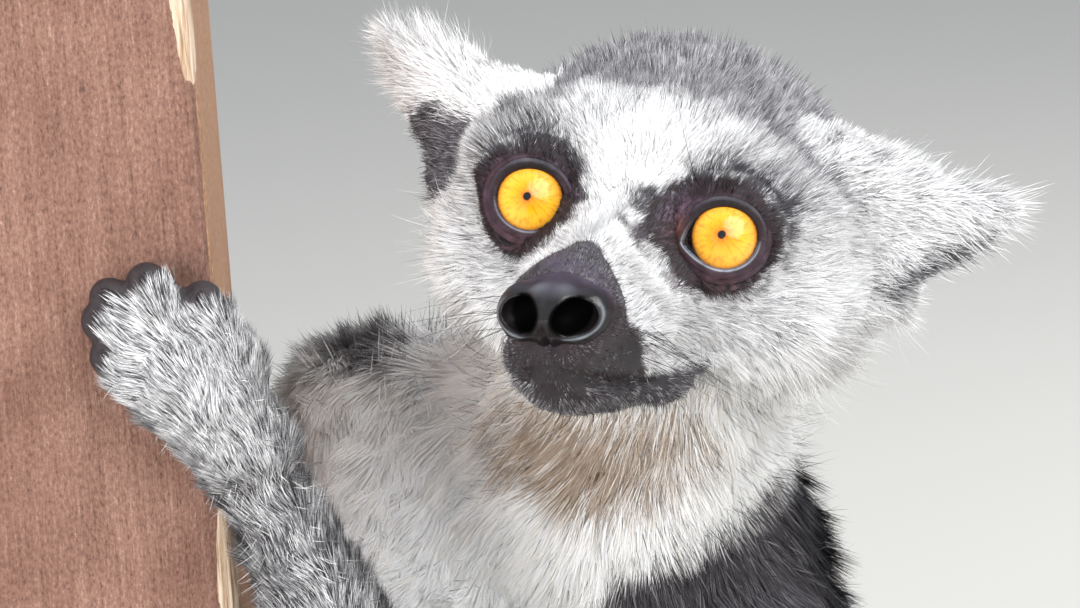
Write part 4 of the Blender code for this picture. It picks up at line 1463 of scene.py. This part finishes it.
def mottled_leather(name, roughness, noise, shades, pore_size, pore_depth, **sockets):
    """Bare skin: colour from the tint, in lighter and darker blotches, pitted with fine pores.

    noise and shades set the blotches and how far they lighten; pores are measured in millimetres.
    """
    material, tree, shader = new_material(name, roughness, **sockets)
    coords = object_coords(tree)
    tint = add_node(tree, "ShaderNodeAttribute", {"attribute_name": "tint"})
    blotch = add_node(tree, "ShaderNodeTexNoise", Vector=coords, **noise)
    shade = add_node(tree, "ShaderNodeMapRange", Value=blotch.outputs["Fac"], **shades)
    colour = add_node(tree, "ShaderNodeVectorMath", {"operation": "SCALE"}, Vector=tint.outputs["Color"],
                      Scale=shade.outputs["Result"])
    tree.links.new(colour.outputs["Vector"], shader.inputs["Base Color"])
    pores = add_node(tree, "ShaderNodeTexVoronoi", Vector=coords, Scale=1 / (pore_size * MM))
    add_bump(tree, shader, pores.outputs["Distance"], pore_depth * MM)
    return material, tree, shader


def skin_material(name, roughness, pore_size, pore_depth, **sockets):
    """Dry skin: strong mottling and a dull face, so that it reads as leather under thin hair."""
    noise = {"Scale": 1 / (2.2 * MM), "Detail": 6.0, "Roughness": 0.7}
    shades = {"From_Min": 0.25, "From_Max": 0.75, "To_Min": 0.45, "To_Max": 1.5}
    return mottled_leather(name, roughness, noise, shades, pore_size, pore_depth, **sockets)[0]


def hair_material():
    """Animal hair: soft and dull, each blade in its own tint."""
    material, tree, shader = new_material("animal_hair", 0.62, Specular_IOR_Level=0.3, IOR=1.55)
    tint = add_node(tree, "ShaderNodeAttribute", {"attribute_name": "tint"})
    tree.links.new(tint.outputs["Color"], shader.inputs["Base Color"])
    return material


def nose_material():
    """Moist rhinarium: almost black leather, pebbled, with a wet shine."""
    noise, shades = {"Scale": 1 / (3.0 * MM), "Detail": 3.0}, {"To_Min": 0.7, "To_Max": 1.35}
    material, tree, shader = mottled_leather("moist_nose_leather", 0.34, noise, shades, 0.55, 0.035,
                                             Coat_Roughness=0.16)
    # wet in front, dull where it runs into the muzzle, no shine deep in the nostrils
    wet = add_node(tree, "ShaderNodeAttribute", {"attribute_name": "wet"})
    for name, dry, moist in (("Coat Weight", 0.0, 0.7), ("Specular IOR Level", 0.04, 0.35),
                             ("Roughness", 0.6, 0.34)):
        shine = add_node(tree, "ShaderNodeMapRange", Value=wet.outputs["Fac"], To_Min=dry, To_Max=moist)
        tree.links.new(shine.outputs["Result"], shader.inputs[name])
    return material


def eye_material():
    """Amber iris with fine spokes, a pin-hole pupil and a dark rim, under a clear wet cornea."""
    material, tree, shader = new_material("wet_amber_eye", 0.2, Coat_Weight=1.0, Coat_Roughness=0.03,
                                          Coat_IOR=1.376)
    sheet = add_node(tree, "ShaderNodeUVMap", {"uv_map": "iris"})
    parts = add_node(tree, "ShaderNodeSeparateXYZ", Vector=sheet.outputs["UV"])
    spoke_place = add_node(tree, "ShaderNodeMapping", Vector=sheet.outputs["UV"], Scale=(46, 5, 1))
    spokes = add_node(tree, "ShaderNodeTexNoise", Vector=spoke_place.outputs["Vector"], Scale=1.0, Detail=4.0)
    jitter = add_node(tree, "ShaderNodeMath", {"operation": "MULTIPLY_ADD"}, _0=spokes.outputs["Fac"],
                      _1=0.07, _2=-0.035)
    radius = add_node(tree, "ShaderNodeMath", {"operation": "ADD"}, _0=parts.outputs["Y"],
                      _1=jitter.outputs["Value"])
    iris = add_ramp(tree, radius.outputs["Value"], (0.07, "B45A08"), (0.15, "E88A06"), (0.30, "F6A40C"),
                    (0.48, "F9B82E"), (0.62, "F2AE34"), (0.68, "C78222"), (0.715, "4A2C0E"))
    edge = add_ramp(tree, parts.outputs["Y"], (0.080, "000000"), (0.100, "FFFFFF"), (0.705, "FFFFFF"),
                    (0.735, "120C0A"), (0.80, "120C0A"), (0.86, "A9B2BE"))
    threads = add_ramp(tree, spokes.outputs["Fac"], (0.30, "C98A5A"), (0.52, "FFFFFF"), (0.72, "FFF3C4"))
    fibre = add_node(tree, "ShaderNodeMix", MULTIPLIED, Factor=0.55, _6=iris, _7=threads)
    colour = add_node(tree, "ShaderNodeMix", MULTIPLIED, Factor=1.0, _6=fibre.outputs[2], _7=edge)
    tree.links.new(colour.outputs[2], shader.inputs["Base Color"])
    film = add_node(tree, "ShaderNodeTexNoise", Vector=object_coords(tree), Scale=1 / (1.7 * MM), Detail=2.0)
    tears = add_node(tree, "ShaderNodeBump", Height=film.outputs["Fac"], Distance=0.45 * MM)
    tree.links.new(tears.outputs["Normal"], shader.inputs["Coat Normal"])
    return material


def nail_material():
    """Nail: dark horn, smooth, with faint lengthwise streaks that give it a dull shine."""
    material, tree, shader = new_material("dark_nail_horn", 0.33)
    streaks = add_node(tree, "ShaderNodeTexNoise", Vector=object_coords(tree), Scale=1 / (0.6 * MM),
                       Detail=3.0)
    colour = add_ramp(tree, streaks.outputs["Fac"], (0.35, "1A1617"), (0.7, "3A3335"))
    tree.links.new(colour, shader.inputs["Base Color"])
    add_bump(tree, shader, streaks.outputs["Fac"], 0.04 * MM)
    return material


def whisker_material():
    """Whiskers: stiff, black and slightly glossy."""
    material, _, shader = new_material("black_whisker", 0.4)
    shader.inputs["Base Color"].default_value = rgba("1B1718")
    return material


def timber_material():
    """Sawn softwood under a worn red-brown stain: open upright grain, pale where it is rubbed bare."""
    material, tree, shader = new_material("stained_softwood", 0.62)
    coords = object_coords(tree, (1, 1, 0.05))
    grain = add_node(tree, "ShaderNodeTexNoise", Vector=coords, Scale=1 / (0.9 * MM), Detail=8.0,
                     Roughness=0.72)
    place = object_coords(tree)
    speck = add_node(tree, "ShaderNodeTexNoise", Vector=object_coords(tree, (1, 1, 0.5)),
                     Scale=1 / (0.55 * MM), Detail=3.0, Roughness=0.8)
    fibres = add_node(tree, "ShaderNodeMix", {"data_type": "FLOAT"}, Factor=0.62,
                      _2=grain.outputs["Fac"], _3=speck.outputs["Fac"])
    stain = add_ramp(tree, fibres.outputs[0], (0.35, "543B33"), (0.45, "836052"), (0.54, "967263"),
                     (0.63, "AF8B7C"), (0.70, "D2BBAC"))
    blotch = add_node(tree, "ShaderNodeTexNoise", Vector=place, Scale=1 / (22 * MM), Detail=3.0)
    tone = add_ramp(tree, blotch.outputs["Fac"], (0.3, "D8CFCB"), (0.7, "FFFFFF"))
    toned = add_node(tree, "ShaderNodeMix", MULTIPLIED, Factor=1.0, _6=stain, _7=tone)
    # bare wood along the worn edge and in long scratches
    parts = add_node(tree, "ShaderNodeSeparateXYZ", Vector=place)
    low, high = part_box("perch_post")
    chips = add_node(tree, "ShaderNodeTexNoise", Vector=object_coords(tree, (1, 1, 0.16)),
                     Scale=1 / (4.0 * MM), Detail=5.0)
    from_side = add_node(tree, "ShaderNodeMath", {"operation": "SUBTRACT"}, _0=high.x, _1=parts.outputs["X"])
    from_front = add_node(tree, "ShaderNodeMath", {"operation": "SUBTRACT"}, _0=parts.outputs["Y"], _1=low.y)
    from_edge = add_node(tree, "ShaderNodeMath", {"operation": "ADD"}, _0=from_side.outputs["Value"],
                         _1=from_front.outputs["Value"])
    # the wear is deepest at the foot and near the top of the stretch beside the face
    top = AIM.z + 70 * MM
    height = add_node(tree, "ShaderNodeMapRange", Value=parts.outputs["Z"], From_Min=top - 140 * MM,
                      From_Max=top)
    chipped = add_ramp(tree, height.outputs["Result"], (0.0, "B4B4B4"), (0.20, "B4B4B4"), (0.27, "303030"),
                       (0.77, "303030"), (0.84, "A0A0A0"))
    bias = add_node(tree, "ShaderNodeMath", {"operation": "MULTIPLY_ADD"}, _0=chipped, _1=9 * MM,
                    _2=-4.6 * MM)
    reach = add_node(tree, "ShaderNodeMath", {"operation": "MULTIPLY_ADD"}, _0=chips.outputs["Fac"],
                     _1=9 * MM, _2=bias.outputs["Value"])
    beyond = add_node(tree, "ShaderNodeMath", {"operation": "LESS_THAN"}, _0=from_edge.outputs["Value"],
                      _1=reach.outputs["Value"])
    flank = add_node(tree, "ShaderNodeMath", {"operation": "LESS_THAN"}, _0=from_side.outputs["Value"],
                     _1=0.5 * MM)
    thin_stain = add_ramp(tree, fibres.outputs[0], (0.36, "7E5A44"), (0.54, "AB8061"), (0.68, "D9BB98"))
    paler = add_node(tree, "ShaderNodeMix", {"data_type": "RGBA"}, Factor=flank.outputs["Value"],
                     _6=toned.outputs[2], _7=thin_stain)
    bare = add_ramp(tree, grain.outputs["Fac"], (0.38, "8A6A50"), (0.5, "C8AC90"), (0.62, "E2D2C0"))
    worn = add_node(tree, "ShaderNodeMix", {"data_type": "RGBA"}, Factor=beyond.outputs["Value"],
                    _6=paler.outputs[2], _7=bare)
    tree.links.new(worn.outputs[2], shader.inputs["Base Color"])
    add_bump(tree, shader, grain.outputs["Fac"], 0.5 * MM)
    return material


def board_material():
    """Oiled oak board: fine long grain along the base."""
    material, tree, shader = new_material("oiled_oak", 0.48)
    coords = object_coords(tree, (1, 0.06, 1))
    grain = add_node(tree, "ShaderNodeTexNoise", Vector=coords, Scale=1 / (2.2 * MM), Detail=7.0)
    colour = add_ramp(tree, grain.outputs["Fac"], (0.3, "9A7C54"), (0.5, "B79A70"), (0.7, "C9B089"))
    tree.links.new(colour, shader.inputs["Base Color"])
    add_bump(tree, shader, grain.outputs["Fac"], 0.15 * MM)
    return material


def steel_material():
    """Brushed steel rod: fine lines round it from the polishing belt."""
    material, tree, shader = new_material("brushed_steel_rod", 0.32, Metallic=1.0)
    shader.inputs["Base Color"].default_value = rgba("C2C4C6")
    lines = add_node(tree, "ShaderNodeTexNoise", Vector=object_coords(tree, (0.1, 0.1, 1)),
                     Scale=1 / (0.3 * MM), Detail=3.0)
    add_bump(tree, shader, lines.outputs["Fac"], 0.03 * MM)
    return material


# ------------------------------------------------------------------ stage

def set_material(node, material):
    """Gives a kept solid its finish."""
    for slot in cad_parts[node].material_slots:
        slot.material = material


def add_floor():
    """A plain pale floor, matt so that only the soft shadow shows on it."""
    bm = bmesh.new()
    bmesh.ops.create_grid(bm, x_segments=1, y_segments=1, size=6)
    material, _, shader = new_material("pale_floor", 0.9)
    shader.inputs["Base Color"].default_value = rgba("C9C7C2")
    floor = link_object("floor", mesh_of(bm, "floor"), material)


def add_softbox(name, place, size, power, mirrored=True):
    """A round soft lamp aimed at the face; mirrored is whether wet surfaces show it."""
    light = bpy.data.lights.new(name, "AREA")
    light.shape = "DISK"
    light.size = size
    light.energy = power
    obj = bpy.data.objects.new(name, light)
    obj.location = place
    obj.rotation_euler = (AIM - Vector(place)).to_track_quat("-Z", "Y").to_euler()
    obj.visible_glossy = mirrored
    bpy.context.scene.collection.objects.link(obj)


def add_light_and_camera():
    world = bpy.data.worlds.new("studio")
    world.use_nodes = True
    world.node_tree.nodes["Background"].inputs["Color"].default_value = rgba("DDE2E8")
    world.node_tree.nodes["Background"].inputs["Strength"].default_value = 0.78
    bpy.context.scene.world = world
    bpy.context.scene.view_settings.view_transform = "Standard"
    add_softbox("key", (0.9, -1.2, 1.4), 2.0, 40)
    add_softbox("fill", (-0.9, -1.2, 0.3), 1.1, 27, mirrored=False)
    add_softbox("rim", (0.7, 1.0, 1.2), 0.7, 14, mirrored=False)

    rise, roll = radians(CAMERA_RISE), radians(CAMERA_ROLL)
    back = Vector((0, -cos(rise), sin(rise)))
    right, up = Vector((1, 0, 0)), Vector((0, sin(rise), cos(rise)))
    across = right * cos(roll) - up * sin(roll)
    upward = right * sin(roll) + up * cos(roll)
    data = bpy.data.cameras.new("camera")
    data.lens = data.sensor_width * CAMERA_DISTANCE / VIEW_WIDTH
    data.clip_start = 0.05
    camera = bpy.data.objects.new("camera", data)
    turn = Matrix((across, upward, back)).transposed().to_4x4()
    camera.matrix_world = Matrix.Translation(camera_place()) @ turn
    bpy.context.scene.collection.objects.link(camera)
    bpy.context.scene.camera = camera


# ------------------------------------------------------------------ putting it together

def main():
    furred_skin = skin_material("furred_skin", 0.6, 0.45, 0.04)
    lid_skin = skin_material("eyelid_skin", 0.5, 0.5, 0.07, Specular_IOR_Level=0.3)
    hair = hair_material()
    skin = build_skin(furred_skin)
    skin["comb"] = comb(skin)
    skin["numbers"] = coat_numbers(skin)
    skin["thick"] = skin["numbers"][:, 3] * (1 - bare_pads(skin))
    grow_coat(skin, hair)
    eye = eye_material()
    for side in EYE_CENTRES:
        build_eye(side, eye)
        build_lids(side, lid_skin)
    build_nose(nose_material())
    build_nails(nail_material())
    build_whiskers(whisker_roots(skin), whisker_material())
    set_material("perch_post", timber_material())
    set_material("stand_base", board_material())
    for rod in ("stand_rod_1", "stand_rod_2"):
        set_material(rod, steel_material())
    add_floor()
    add_light_and_camera()


main()
